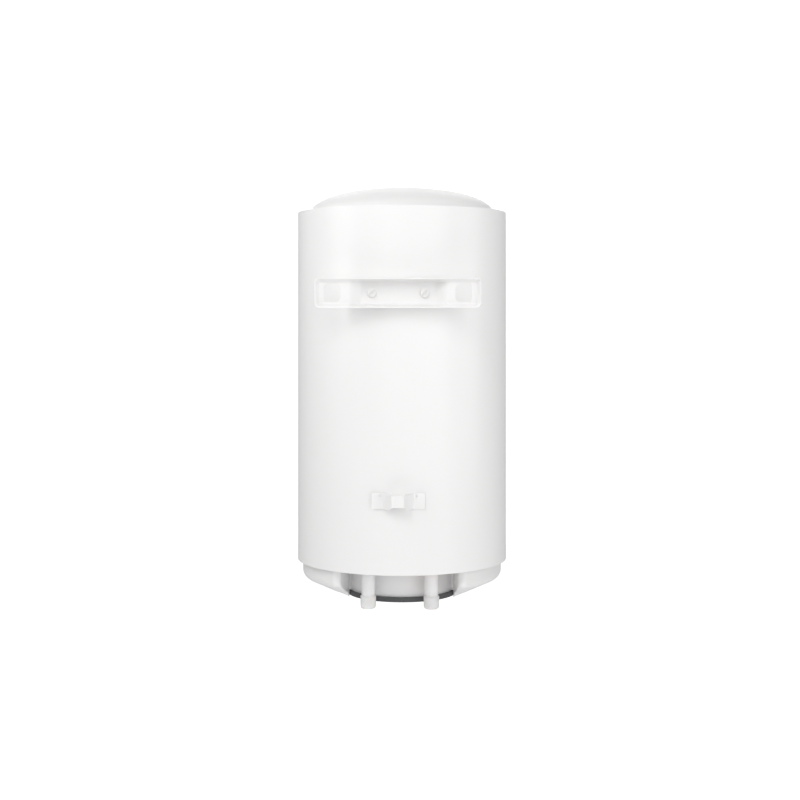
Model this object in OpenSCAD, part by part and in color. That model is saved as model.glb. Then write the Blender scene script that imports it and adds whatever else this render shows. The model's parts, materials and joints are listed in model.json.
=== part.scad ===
// Wall-hung electric storage water heater.
// The origin is on the wall plane, midway between the two hook holes. +Y points into the wall,
// -Y to the front of the heater, +Z up. The tank's own axis stands at y = axis_y.

/* [Casing] */
// Outside diameter of the casing
casing_d = 344; // [340:1:350]
// Height of the casing
casing_h = 570; // [560:1:700]
// Thickness of the casing sheet
casing_t = 0.8; // [0.6:0.1:1]
// Height of the casing's top edge above the hook holes
casing_top = 136; // [120:1:160]
// Gap between the casing and the wall
wall_gap = 25; // [24:1:27]

/* [Top cover] */
// Radius of the dome where it rises out of the casing
dome_r = 152.6; // [150:0.1:156]
// Height of the dome above the groove round it
dome_h = 44.8; // [40:0.1:50]
// Depth of the groove below the casing's top edge
dome_sink = 5; // [3:0.5:8]
// Roundness of the dome: 2 is an ellipse, more is squarer
dome_power = 2.2; // [2:0.1:3]

/* [Bottom cover] */
// Radius of the cover's upright wall
cover_r = 163.6; // [160:0.1:166]
// How far the upright wall comes down before it turns in
cover_drop = 17; // [12:1:20]
// Radius of the bend between the wall and the cone
cover_bend = 14.5; // [10:0.5:18]
// Depth of the cone's inner edge below the casing
cover_depth = 60; // [56:1:64]
// Wall thickness of the plastic covers
cover_t = 2.5; // [2:0.1:3]
// Outside radius of the service compartment
well_r = 87; // [84:1:88]
// Outside radius of the dark service cover
service_r = 90; // [89:0.5:92]

/* [Notch for the pipes] */
// Half width of the notch at the compartment wall
notch_in = 85; // [80:0.5:85]
// Half width of the notch at its outer edge
notch_out = 93; // [88:0.5:98]

/* [Tank] */
// Outside diameter of the tank
tank_d = 300; // [290:1:302]
// Thickness of the tank wall
tank_t = 2; // [1.5:0.1:3]
// Depth of the top dished end
tank_dish_top = 50; // [40:1:52]
// Depth of the bottom dished end
tank_dish_bottom = 42; // [36:1:44]

/* [Flange] */
// Radius of the flange
flange_r = 60; // [58:0.5:61]
// Radius of the circle of studs
stud_circle_r = 52; // [51:0.5:53]
// Length of the heating element above the flange
element_h = 250; // [150:5:300]
// Length of the magnesium anode
anode_h = 230; // [120:5:300]

/* [Pipes] */
// Distance between the two pipes
pipe_pitch = 100; // [98:1:102]
// Distance of the pipes from the tank's axis, towards the wall
pipe_back = 105; // [103:1:107]
// Outside diameter of a pipe, for a G 1/2 thread
pipe_d = 21.3; // [21:0.1:21.4]
// Bore of a pipe
pipe_bore = 16; // [14:0.5:16.5]
// How far the pipes come down below the casing
pipe_drop = 60; // [58:1:62]
// Height of a thread cap
cap_h = 20; // [18:0.5:22]
// Outside diameter of a thread cap
cap_d = 24.8; // [24.6:0.1:26]

/* [Hook bracket] */
// Width of the hook bracket
bracket_w = 254; // [250:1:258]
// Height of the hook bracket
bracket_h = 46; // [44:1:50]
// Depth of the bracket's ends
bracket_end_d = 10; // [9:0.5:12]
// Thickness of the bracket sheet
bracket_t = 2; // [1.5:0.1:2.5]
// Half width of the recessed middle
bracket_mid = 58; // [54:1:60]
// Width of each slope between the middle and an end
bracket_slope = 17; // [14:1:18]
// Distance between the centres of the hook holes
hook_pitch = 200; // [196:1:202]
// Width of a hook hole
hook_w = 25; // [22:0.5:26]
// Height of a hook hole
hook_h = 27.5; // [24:0.5:28]
// Distance between the two bracket screws
screw_pitch = 81; // [76:1:84]

/* [Spacer] */
// Height of the spacer's middle below the hook holes
spacer_drop = 319; // [300:1:380]
// Height of the spacer strip
spacer_h = 25; // [22:0.5:30]
// Half width of the spacer's face on the wall
spacer_face = 9.75; // [8:0.25:11]
// Distance from the middle to the foot of each slope
spacer_foot = 24; // [22:0.5:26]
// Half length of the spacer
spacer_end = 41; // [39:0.5:44]

/* [Thermometer] */
// Height of the thermometer below the hook holes
gauge_drop = 300; // [250:1:360]
// Radius of the bezel
gauge_r = 28; // [27:0.5:29]

/* [Hidden] */
$fn = 72;

// Clearances: between a piece and the hole it sits in, and of a shaft that turns
gap = 0.3;
running = 0.05;
// Overshoot of a cut past the face that it opens
over = 1;

// The heater's own axis, and its main radii
casing_r = casing_d / 2;
axis_y = -(casing_r + wall_gap);
inside_r = casing_r - casing_t - gap;
tank_r = tank_d / 2;

// Heights: the casing's edges, and the groove in which the dome stands
top_z = casing_top;
bottom_z = casing_top - casing_h;
groove_z = top_z - dome_sink;
// The tank's straight wall
tank_top_z = top_z - 35;
tank_bottom_z = bottom_z + 66;
// The stack under the tank: neck, gasket, flange, base ring
neck_z = bottom_z + 19;
neck_in = 44;
gasket_t = 2;
flange_t = 5;
flange_z = neck_z - gasket_t - flange_t;
base_ring_z = bottom_z + 10;
base_ring_t = 1.5;
base_hole_r = 66;
foam_z = base_ring_z + base_ring_t + gap;
foam_hole_r = 64;
// The bottom cover's lip inside the casing
lip_z = bottom_z + 9.7;
lip_low_z = bottom_z + 7.2;
// The pipe notch: where its flanks meet the cover's rim, its ceiling, and the deck on top of that
notch_rim_y = 135;
ceiling_z = bottom_z - 1;
deck_z = ceiling_z + cover_t;
// A level below every cover, from which cuts rise
below_z = bottom_z - 80;
// The compartment's lower end, and the web round it
well_z = bottom_z - 54;
web_z = bottom_z - 48;
service_top_z = bottom_z - 49;
service_rim_z = bottom_z - 57.5;
service_low_z = bottom_z - 60.5;
// The service cover's upper face: its middle, and the level part near its wall
service_floor_z = bottom_z - 57;
service_ledge_z = bottom_z - 54.3;
service_ledge_r = 70;
service_in = service_r - cover_t + 0.1;
service_seat_z = bottom_z - 56.5;
knob_top_z = bottom_z - 62;
knob_h = 9;
knob_r = 22;
// The cone of the bottom cover, from its bend to its inner edge
cone_in = service_r + 1;
bend_r = cover_r - cover_bend;
cone_slope = atan((cover_depth - cover_drop - cover_bend * 0.9)
    / (bend_r + cover_bend * 0.4 - cone_in));

// Fasteners: stud and nut of size 8, the ring of studs, and the small screws of size 4
stud_count = 6;
stud_r = 4;
nut_r = 7.5;
nut_h = 6.5;
washer_t = 1.5;
stud_end_z = flange_z - 14;
screw_r = 2;
screw_slot_w = 1;

// What the flange carries, from the element's legs to the two bulbs in their pocket
element_x = 32;
element_r = 4.25;
anode_y = 26;
anode_r = 11;
anode_z = flange_z + flange_t + 8;
pocket_y = -24;
pocket_r = 6;
pocket_t = 0.8;
pocket_h = 218;
bulb_x = 2.55;
bulb_r = 2.4;
capillary_r = 0.6;

// The strap that carries the thermostat below the flange
strap_w = 36;
strap_t = 1.5;
strap_z = flange_z - 17.5;
strap_leg_y = 42;
strap_hole_y = -22;
strap_hole_r = 9;
strap_screw = [15, 10];
body_w = 48;
body_front = -20;
body_back = 24;
body_h = 30;
body_z = strap_z - body_h;
shaft_r = 3;
tab_l = 7;
tab_w = 6.3;
tab_t = 0.8;
tab_y = 8;
tab_high_z = body_z + 22;
tab_low_z = body_z + 8;
tab_end = body_w / 2 + tab_l + gap;
cutout_w = 22;
cutout_y = -30;
cutout_d = 18;
cutout_h = 24;
cutout_z = strap_z - cutout_h;
button_r = 3;
button_h = 6;

// Terminal block, indicator, gland and the cover's screws
block_y = 72;
block_w = 40;
block_d = 16;
block_h = 16;
shelf_z = bottom_z - 20;
block_pitch = 13;
block_z = shelf_z - block_h;
block_face = block_y - block_d / 2 - gap;
wire_z = shelf_z - 10;
wire_r = 1.3;
lamp_y = -52;
lamp_r = 5;
lamp_low_z = bottom_z - 54.5;
lamp_high_z = bottom_z - 44;
lens_r = 4;
lens_rim_z = bottom_z - 59.4;
cover_screw_x = 80;
gland_y = 112;
gland_r = 6;
gland_bore_r = 4;
cable_way_w = 16;
earth_at = [24, 38];

// Pipes: their top inside the tank, and the thread at their lower end
pipe_r = pipe_d / 2;
pipe_top_z = bottom_z + 60;
thread_z = bottom_z - pipe_drop;
thread_h = 15;
cap_low_z = thread_z - 3.7;

// Hook bracket and spacer, measured from the wall plane
bracket_mid_d = wall_gap - gap;
bracket_corner = 8;
boss_r = 8;
head_r = 7.25;
head_h = 4.5;
slot_w = 1.8;
spacer_t = 1.5;

// Thermometer
gauge_z = -gauge_drop;
cup_r = 23.5;
cup_t = 1.5;
cup_back = casing_r - 15;
cup_front = casing_r + 1.5;
dial_y = cup_back + 9;
spindle_r = 0.8;
glass_r = 22.5;
needle_l = 17;
needle_rest = 120;

// ---- helpers ----

// Puts its children on the heater's axis
module on_axis() translate([0, axis_y, 0]) children();

// Upright cylinder between two heights
module rod(r, z0, z1) translate([0, 0, min(z0, z1)]) cylinder(r = r, h = abs(z1 - z0));

// Upright ring between two heights
module ring(r_out, r_in, z0, z1) difference() {
    rod(r_out, z0, z1);
    rod(r_in, min(z0, z1) - over, max(z0, z1) + over);
}

// Cylinder along Y, from the smaller to the larger y
module rod_y(r, y0, y1) translate([0, y1, 0]) rotate([90, 0, 0]) cylinder(r = r, h = y1 - y0);

// Box centred on X between two y and two z values
module slab(w, y0, y1, z0, z1) translate([-w / 2, y0, z0]) cube([w, y1 - y0, z1 - z0]);

// Both places of something that repeats to the left and right
module left_right(x) for (side = [-1, 1]) translate([side * x, 0, 0]) children();

// The place of one flange stud, and of all of them
module at_stud(i) rotate(90 + i * 360 / stud_count) translate([stud_circle_r, 0, 0]) children();
module on_studs() for (i = [0:stud_count - 1]) at_stud(i) children();

// The places of the screws that hold the thermostat to its strap
module on_strap_screws() left_right(strap_screw[0]) translate([0, strap_screw[1], 0]) children();

// Rectangle with rounded corners, centred
module round_rect(w, h, r) {
    square([w - 2 * r, h], center = true);
    square([w, h - 2 * r], center = true);
    for (x = [-1, 1], y = [-1, 1]) translate([x * (w / 2 - r), y * (h / 2 - r)]) circle(r);
}

// Points on a quarter of an ellipse or rounder curve: from the axis out to radius a
function quarter_out(a, b, z0, power = 2, steps = 16) = [
    for (i = [0:steps]) let (t = 90 * (1 - i / steps))
        [a * pow(cos(t), 2 / power), z0 + b * pow(sin(t), 2 / power)]
];

// The same points, from radius a back to the axis
function quarter_in(a, b, z0, power = 2, steps = 16) = let (p = quarter_out(a, b, z0, power, steps))
    [for (i = [steps:-1:0]) p[i]];

// Arc points about a centre, from one angle to another
function arc(c, r, a0, a1, steps = 8) = [
    for (i = [0:steps]) let (a = a0 + (a1 - a0) * i / steps) c + r * [cos(a), sin(a)]
];

// ---- swept wires ----

// Point on a smooth curve through p, at place u counted in spans
function on_curve(p, u) = let (
    n = len(p) - 1,
    i = min(floor(u), n - 1),
    t = u - i,
    a = p[max(i - 1, 0)],
    b = p[i],
    c = p[i + 1],
    d = p[min(i + 2, n)]
) 0.5 * (2 * b + (c - a) * t + (2 * a - 5 * b + 4 * c - d) * t * t
    + (3 * b - a - 3 * c + d) * t * t * t);

function unit(v) = v / norm(v);

// Round wire through the points of a route, with flat ends. The rings are squared up against
// the direction level, which the route must never follow.
module wire(route, r, per_span = 4, sides = 8, level = [0.31, 0.17, 0.93]) {
    spans = (len(route) - 1) * per_span;
    path = [for (i = [0:spans]) on_curve(route, i / per_span)];
    rings = [for (i = [0:spans]) let (
        dir = unit(path[min(i + 1, spans)] - path[max(i - 1, 0)]),
        u = unit(cross(dir, level)),
        v = cross(dir, u)
    ) for (k = [0:sides - 1]) path[i] + r * (u * cos(360 * k / sides) + v * sin(360 * k / sides))];
    sleeve = [for (i = [0:spans - 1], k = [0:sides - 1]) let (m = (k + 1) % sides)
        [i * sides + k, (i + 1) * sides + k, (i + 1) * sides + m, i * sides + m]];
    start_face = [for (k = [0:sides - 1]) k];
    end_face = [for (k = [sides - 1:-1:0]) spans * sides + k];
    polyhedron(rings, concat([start_face], sleeve, [end_face]));
}

// ---- outer shells ----

module outer_casing() color("white") on_axis() difference() {
    ring(casing_r, casing_r - casing_t, bottom_z, top_z);
    left_right(screw_pitch / 2) rod_y(boss_r + gap, 0, casing_r + over);
    translate([0, 0, gauge_z]) rod_y(cup_r + gap, -casing_r - over, 0);
}

// Domed lid with a flat groove round it and a skirt inside the casing
module top_cover() color("whitesmoke") on_axis() rotate_extrude() polygon(concat(
    quarter_out(dome_r, dome_h, groove_z, dome_power),
    [[inside_r, groove_z], [inside_r, groove_z - 6], [inside_r - cover_t, groove_z - 6],
     [inside_r - cover_t, groove_z - cover_t], [dome_r - cover_t, groove_z - cover_t]],
    quarter_in(dome_r - cover_t, dome_h - cover_t, groove_z, dome_power)
));

// Outline of the bottom cover's outer skin, inset by t: wall, bend and cone
function cover_outline(t) = concat(
    [[cover_r - t, lip_low_z]],
    arc([bend_r, bottom_z - cover_drop], cover_bend - t, 0, cone_slope - 90),
    [[cone_in, bottom_z - cover_depth + t / cos(cone_slope)]]
);

// Plan of the pipe notch, grown by t on its flanks
module notch_plan(t) {
    wall_y = sqrt(well_r * well_r - notch_in * notch_in);
    lean = (notch_out - notch_in) / (notch_rim_y - wall_y);
    near_x = notch_in + t - lean * wall_y;
    far = casing_r + 10;
    far_x = near_x + lean * far;
    difference() {
        polygon([[-near_x, 0], [near_x, 0], [far_x, far], [-far_x, far]]);
        circle(well_r);
    }
}

module cover_block() rotate_extrude() polygon(concat(
    [[0, lip_z], [inside_r, lip_z], [inside_r, lip_low_z]],
    cover_outline(0),
    [[0, bottom_z - cover_depth]]
));

// The closed ring between the cover's outer skin and the compartment wall
module cover_hollow() rotate_extrude() polygon(concat(
    [[well_r, lip_z + over], [cover_r - cover_t, lip_z + over]],
    cover_outline(cover_t),
    [[cone_in + cover_t, bottom_z - cover_depth + cover_t * 1.6],
     [cone_in + cover_t, web_z + cover_t], [well_r, web_z + cover_t]]
));

module bottom_cover() color("white") on_axis() {
    difference() {
        cover_block();
        difference() {
            cover_hollow();
            translate([0, 0, below_z]) linear_extrude(deck_z - below_z) notch_plan(cover_t);
        }
        translate([0, 0, below_z]) linear_extrude(ceiling_z - below_z) notch_plan(0);
        rod(well_r - cover_t, below_z, lip_z + over);
        rod(cone_in, below_z, well_z);
        ring(cone_in, well_r, well_z - over, web_z);
        left_right(pipe_pitch / 2) translate([0, pipe_back, 0])
            rod(pipe_r + gap, ceiling_z - over, deck_z + over);
        translate([0, gland_y, 0]) rod(gland_r + 0.2, ceiling_z - over, deck_z + over);
        // way for the cable, from the gland into the compartment
        slab(cable_way_w, well_r - 8, well_r + 2, deck_z, lip_z + over);
    }
    // shelf for the terminal block
    intersection() {
        slab(block_w + 8, block_y - block_d / 2 - 2, well_r, shelf_z, shelf_z + 2);
        rod(well_r - cover_t, shelf_z - over, shelf_z + 4);
    }
    // bosses for the service cover's screws
    intersection() {
        left_right(cover_screw_x) ring(5, 1.5, well_z, well_z + 24);
        rod(well_r - cover_t, well_z, well_z + 24);
    }
}

module service_cover() color("dimgray") on_axis() difference() {
    rotate_extrude() polygon(concat(
        [[0, service_floor_z], [service_ledge_r, service_ledge_z], [service_in, service_ledge_z],
         [service_in, service_top_z], [service_r, service_top_z]],
        arc([service_r - 2, service_rim_z + 2], 2, 0, -90, 4),
        [for (i = [1:8]) let (r = (service_r - 2) * (1 - i / 8))
            [r, service_low_z + (service_rim_z - service_low_z) * pow(r / (service_r - 2), 2)]]
    ));
    rod(shaft_r + gap, below_z, bottom_z);
    translate([0, lamp_y, 0]) rod(lens_r + 0.1, below_z, bottom_z);
    left_right(cover_screw_x) rod(1.9, below_z, bottom_z);
    left_right(cover_screw_x) rod(3.9, below_z, service_seat_z);
}

// Screws with a crossed recess
module service_cover_screws() color("silver") on_axis() left_right(cover_screw_x) difference() {
    recess_z = service_seat_z - 1;
    union() {
        rod(3.5, service_seat_z - 1.9, service_seat_z);
        rod(1.5, service_seat_z, bottom_z - 38);
    }
    slab(1, -2.5, 2.5, recess_z - 3, recess_z);
    slab(5, -0.5, 0.5, recess_z - 3, recess_z);
}

module base_ring() color("gainsboro") on_axis() difference() {
    ring(inside_r, base_hole_r, base_ring_z, base_ring_z + base_ring_t);
    left_right(pipe_pitch / 2) translate([0, pipe_back, 0])
        rod(pipe_r + gap, bottom_z, foam_z);
}

// ---- insulation and tank ----

// Points of the tank's top and bottom ends, grown by t
function tank_top(t) = quarter_out(tank_r + t, tank_dish_top + t, tank_top_z);
function dish_z(r, t) = tank_bottom_z - (tank_dish_bottom + t) * sqrt(1 - pow(r / (tank_r + t), 2));
function tank_bottom(t, r_in) = [for (i = [0:14]) let (
    a = acos(r_in / (tank_r + t)) * i / 14,
    r = (tank_r + t) * cos(a)
) [r, dish_z(r, t)]];

module insulation_foam() color("khaki") on_axis() difference() {
    rotate_extrude() polygon(concat(
        tank_top(gap),
        tank_bottom(gap, foam_hole_r),
        [[foam_hole_r, foam_z], [inside_r, foam_z], [inside_r, groove_z - 6 - gap],
         [inside_r - cover_t - gap, groove_z - 6 - gap],
         [inside_r - cover_t - gap, groove_z - cover_t - gap],
         [dome_r - cover_t - gap, groove_z - cover_t - gap]],
        quarter_in(dome_r - cover_t - gap, dome_h - cover_t - gap, groove_z, dome_power)
    ));
    left_right(pipe_pitch / 2) translate([0, pipe_back, 0])
        rod(pipe_r + gap, bottom_z, pipe_top_z);
    left_right(screw_pitch / 2) rod_y(boss_r + gap, 100, casing_r);
    translate([0, 0, gauge_z]) rod_y(cup_r + gap, -casing_r, -cup_back + gap);
    slab(8, -cup_back, -tank_r + over, gauge_z, gauge_z + 84);
}

module inner_tank() color("steelblue") on_axis() difference() {
    rotate_extrude() polygon(concat(
        tank_top(0),
        tank_bottom(0, flange_r),
        [[flange_r, neck_z], [neck_in, neck_z], [neck_in, dish_z(neck_in, -tank_t)]],
        [for (i = [13:-1:0]) tank_bottom(-tank_t, neck_in)[i]],
        quarter_in(tank_r - tank_t, tank_dish_top - tank_t, tank_top_z)
    ));
    left_right(pipe_pitch / 2) translate([0, pipe_back, 0])
        rod(pipe_r + running, bottom_z, pipe_top_z + over);
}

module tank_flange() color("silver") on_axis() difference() {
    rod(flange_r, flange_z, flange_z + flange_t);
    on_studs() rod(stud_r + gap, flange_z - over, flange_z + flange_t + over);
    left_right(element_x) rod(element_r + running, flange_z - over, flange_z + flange_t + over);
    translate([0, anode_y, 0]) rod(stud_r + gap, flange_z - over, flange_z + flange_t + over);
    translate([0, pocket_y, 0]) rod(pocket_r + running, flange_z - over, flange_z + flange_t + over);
    translate(earth_at) rod(screw_r + running, flange_z - over, flange_z + 4);
}

module flange_gasket() color("black") on_axis() difference() {
    ring(flange_r, neck_in, neck_z - gasket_t, neck_z);
    on_studs() rod(stud_r + gap, neck_z - 5, neck_z + over);
}

module flange_studs() color("silver") on_axis() on_studs() rod(stud_r, stud_end_z, neck_z);

// The front and back studs hold the strap's feet, so they need no washer
module flange_washers() color("silver") on_axis() for (i = [0:stud_count - 1])
    if (i % (stud_count / 2) != 0) at_stud(i)
        ring(nut_r + 0.8, stud_r + gap, flange_z - washer_t, flange_z);

module nut(z) difference() {
    translate([0, 0, z - nut_h]) cylinder(r = nut_r, h = nut_h, $fn = 6);
    rod(stud_r + running, z - nut_h - over, z + over);
}

module flange_nuts() color("silver") on_axis() on_studs() nut(flange_z - washer_t);

// ---- what the flange carries into the tank ----

module heating_element() color("darkgray") on_axis() {
    bend_z = flange_z + element_h - element_x;
    left_right(element_x) rod(element_r, flange_z, bend_z);
    translate([0, 0, bend_z]) rotate([90, 0, 0]) rotate_extrude(angle = 180)
        translate([element_x, 0]) circle(element_r);
}

// Insulator and flat tab at each end of the element
module element_terminals() color("gold") on_axis() left_right(element_x) {
    rod(element_r, flange_z - 6, flange_z);
    slab(tab_t, -tab_w / 2, tab_w / 2, flange_z - 15, flange_z - 6);
}

module magnesium_anode() color("lightgray") on_axis() translate([0, anode_y, 0]) {
    rod(anode_r, anode_z, anode_z + anode_h);
    rod(stud_r, flange_z - 10, anode_z);
}

module anode_nut() color("silver") on_axis() translate([0, anode_y, 0]) nut(flange_z);

module sensor_pocket() color("silver") on_axis() translate([0, pocket_y, 0]) difference() {
    rod(pocket_r, flange_z - 2, flange_z + pocket_h);
    rod(pocket_r - pocket_t, flange_z - 3, flange_z + pocket_h - 1);
}

// Two bulbs in the pocket, with the capillaries that lead down to their switches
module sensor_bulbs() color("peru") on_axis() {
    bulb_z = flange_z + 90;
    left_right(bulb_x) translate([0, pocket_y, 0]) rod(bulb_r, bulb_z, bulb_z + 100);
    wire([[-bulb_x, pocket_y, bulb_z], [-bulb_x, pocket_y, bulb_z - 40],
          [-bulb_x, pocket_y, flange_z + 6], [-4, -22, flange_z - 6],
          [-5, -18, flange_z - 13], [-5, -17.5, strap_z + 0.5]], capillary_r);
    wire([[bulb_x, pocket_y, bulb_z], [bulb_x, pocket_y, bulb_z - 40],
          [bulb_x, pocket_y, flange_z + 6], [bulb_x, -24.5, flange_z - 8],
          [bulb_x, -25, strap_z + 0.5]], capillary_r);
}

// ---- thermostat ----

// Strap under the flange: two feet on studs, two legs and the plate that carries the switches
module thermostat_strap() color("silver") on_axis() difference() {
    union() {
        slab(strap_w, -strap_leg_y, strap_leg_y, strap_z, strap_z + strap_t);
        for (side = [0, 180]) rotate(side) {
            slab(strap_w, strap_leg_y, strap_leg_y + strap_t, strap_z, flange_z);
            slab(strap_w, strap_leg_y, stud_circle_r + 6, flange_z - strap_t, flange_z);
        }
    }
    for (side = [-1, 1]) translate([0, side * stud_circle_r, 0])
        rod(stud_r + gap, flange_z - 4, flange_z + over);
    translate([0, strap_hole_y, 0]) rod(strap_hole_r, strap_z - over, strap_z + 4);
    on_strap_screws() rod(screw_r + running, strap_z - over, strap_z + 4);
}

module thermostat_body() color("ivory") on_axis() difference() {
    union() {
        slab(body_w, body_front, body_back, body_z, strap_z);
        rod(6, body_z - 4, body_z);
    }
    rod(shaft_r + running, body_z - 5, body_z + 6);
    on_strap_screws() rod(screw_r + running, strap_z - 8, strap_z + over);
}

module thermostat_tabs() color("gold") on_axis()
    for (z = [tab_low_z, tab_high_z], y = [-tab_y, tab_y])
        left_right(body_w / 2 + tab_l / 2) translate([0, y, 0])
            slab(tab_l, -tab_w / 2, tab_w / 2, z, z + tab_t);

module thermostat_screws() color("silver") on_axis() on_strap_screws() difference() {
    seat = strap_z + strap_t;
    union() {
        rod(3.6, seat, seat + 2.4);
        rod(screw_r, strap_z - 7, seat);
    }
    slab(screw_slot_w, -5, 5, seat + 1.4, seat + 4);
}

module thermostat_shaft() color("silver") on_axis() rod(shaft_r, knob_top_z - knob_h + 2, body_z + 5);

// Fluted knob with a raised pointer, turned to the low end of its travel
module control_knob() color("gray") on_axis() difference() {
    union() {
        rotate_extrude() polygon(concat(
            [[0, knob_top_z], [knob_r, knob_top_z]],
            arc([knob_r - 2, knob_top_z - knob_h + 2.6], 2, 0, -90, 4),
            [[0, knob_top_z - knob_h + 0.6]]
        ));
        rotate(45) slab(2.4, 6, knob_r - 3, knob_top_z - knob_h, knob_top_z - knob_h + 1);
    }
    rod(shaft_r + 0.02, knob_top_z - knob_h + 2, knob_top_z + over);
    for (i = [0:17]) rotate(10 + i * 20) translate([knob_r + 1.2, 0, 0])
        rod(2.2, knob_top_z - knob_h - over, knob_top_z - 2);
}

module cutout_body() color("ivory") on_axis() translate([0, cutout_y, 0]) difference() {
    slab(cutout_w, -cutout_d / 2, cutout_d / 2, cutout_z, strap_z);
    rod(button_r + gap, cutout_z - over, cutout_z + 8);
}

module reset_button() color("red") on_axis() translate([0, cutout_y, 0])
    rod(button_r, cutout_z - button_h / 2, cutout_z + button_h / 2);

// ---- wiring ----

module terminal_block() color("ivory") on_axis() difference() {
    slab(block_w, block_y - block_d / 2, block_y + block_d / 2, block_z, shelf_z);
    for (i = [-1:1]) translate([i * block_pitch, 0, wire_z]) rod_y(2.2, 0, 100);
    for (i = [-1:1]) translate([i * block_pitch, block_y, 0])
        rod(screw_r + running, block_z - over, wire_z);
}

module terminal_screws() color("gold") on_axis()
    for (i = [-1:1]) translate([i * block_pitch, block_y, 0]) difference() {
        union() {
            rod(2.8, block_z - 1.8, block_z);
            rod(screw_r, block_z, wire_z - 2.5);
        }
        slab(screw_slot_w, -4, 4, block_z - 3, block_z - 1);
    }

module live_wire() color("saddlebrown") on_axis() wire([
    [-block_pitch, block_face, wire_z], [-block_pitch, 55, wire_z], [-24, 44, wire_z],
    [-40, 30, wire_z + 1], [-43, 15, tab_low_z + 1], [-38, tab_y, tab_low_z],
    [-tab_end, tab_y, tab_low_z + 0.4]], wire_r);

module neutral_wire() color("royalblue") on_axis() wire([
    [0, block_face, wire_z], [1, 53, wire_z - 1], [14, 43, wire_z - 2],
    [38, 32, wire_z], [43, 15, tab_low_z + 1], [38, tab_y, tab_low_z],
    [tab_end, tab_y, tab_low_z + 0.4]], wire_r);

// The earth wire ends in a ring lug under the earth screw
module earth_wire() color("yellowgreen") on_axis() {
    lug_z = flange_z - 1;
    wire([[block_pitch, block_face, wire_z], [block_pitch + 1, 56, wire_z + 1],
          [23, 50, wire_z + 12], [34, 46, flange_z - 16], [37, 42, flange_z - 6],
          [34, 39, flange_z - 2], [earth_at[0] + 4, earth_at[1], flange_z - 1.6]], wire_r);
    translate(earth_at) ring(4.4, screw_r + running, lug_z, flange_z);
}

module earth_screw() color("gold") on_axis() translate(earth_at) difference() {
    union() {
        rod(3.4, flange_z - 3.6, flange_z - 1);
        rod(screw_r, flange_z - 1, flange_z + 3.8);
    }
    slab(screw_slot_w, -4, 4, flange_z - 5, flange_z - 2.6);
}

module element_leads() color("black") on_axis() for (side = [0, 1]) mirror([side, 0, 0]) wire([
    [tab_end, -tab_y, tab_high_z + 0.4], [37, -tab_y, tab_high_z], [40.5, -4, tab_high_z + 0.5],
    [36, -0.5, tab_high_z + 2], [32.4, 0, tab_high_z + 5],
    [element_x, 0, flange_z - 15 - gap]], 1.1, level = [-0.6, -0.6, 0.5]);

module lamp_leads() color("firebrick") on_axis() for (side = [0, 1]) mirror([side, 0, 0]) wire([
    [tab_end, -tab_y, tab_low_z + 0.4], [36, -10, tab_low_z - 1], [36, -24, tab_low_z - 5],
    [22, -40, lamp_high_z + 4], [6, -50, lamp_high_z + 3], [2.2, lamp_y, lamp_high_z + 0.6]], 0.8);

module indicator_lamp() color("orange") on_axis() translate([0, lamp_y, 0])
    rod(lamp_r, lamp_low_z, lamp_high_z);

// Clear button with a rounded end, through the service cover
module indicator_lens() color("orangered") on_axis() translate([0, lamp_y, 0]) {
    rotate_extrude() polygon(concat(
        [[0, lamp_low_z], [lens_r, lamp_low_z]],
        [for (t = [15:15:90]) [lens_r * cos(t), lens_rim_z - 1.6 * sin(t)]]
    ));
}

// ---- pipes ----

module at_pipe(side) on_axis() translate([side * pipe_pitch / 2, pipe_back, 0]) children();

// A pipe end: it stands 20 mm into the tank, and its lower end carries the thread
module pipe_tail() difference() {
    union() {
        rod(pipe_r, thread_z + thread_h, pipe_top_z);
        rod(pipe_r - 0.2, thread_z + 1, thread_z + thread_h);
        rod(pipe_r - 1, thread_z, thread_z + 1);
    }
    rod(pipe_bore / 2, thread_z - over, pipe_top_z + over);
}

module cold_inlet_pipe() color("white") at_pipe(1) pipe_tail();
module hot_outlet_pipe() color("white") at_pipe(-1) pipe_tail();

// Tube that takes hot water from the top of the tank
module hot_standpipe() color("silver") at_pipe(-1)
    ring(pipe_bore / 2 - 0.1, pipe_bore / 2 - 1.1, pipe_top_z - 12, top_z - 22);

// Mushroom that spreads the cold water sideways
module cold_diffuser() color("lightblue") at_pipe(1) {
    ring(13, pipe_r + 0.1, pipe_top_z - 10, pipe_top_z + 2);
    rod(16, pipe_top_z + 12, pipe_top_z + 14);
    for (i = [0:3]) rotate(45 + i * 90) slab(3, 10.9, 13, pipe_top_z, pipe_top_z + 13);
}

// Coloured ring round a pipe, against the ceiling of the notch
module rosette() rotate_extrude() polygon([
    [pipe_r + gap, ceiling_z - 0.1], [17, ceiling_z - 0.1], [17, ceiling_z - 1.6],
    [15.5, ceiling_z - 3], [pipe_r + gap, ceiling_z - 3]
]);

module cold_rosette() color("royalblue") at_pipe(1) rosette();
module hot_rosette() color("firebrick") at_pipe(-1) rosette();

// Push-on cap with a chamfered lower edge and a closed end
module thread_cap() {
    low = cap_low_z;
    r = cap_d / 2;
    difference() {
        rotate_extrude() polygon([
            [0, low], [r - 2.2, low], [r - 0.6, low + 1.6], [r, low + 3.4], [r, low + cap_h],
            [0, low + cap_h]
        ]);
        rod(pipe_r + gap, low + 2.7, low + cap_h + over);
    }
}

module cold_thread_cap() color("whitesmoke") at_pipe(1) thread_cap();
module hot_thread_cap() color("whitesmoke") at_pipe(-1) thread_cap();

// Bush for the supply cable, in the ceiling of the notch
module cable_gland() color("gray") on_axis() translate([0, gland_y, 0]) difference() {
    union() {
        rod(9, ceiling_z - 4, ceiling_z);
        rod(gland_r, ceiling_z, bottom_z + 8);
    }
    rod(gland_bore_r, ceiling_z - 5, bottom_z + 9);
}

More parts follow.
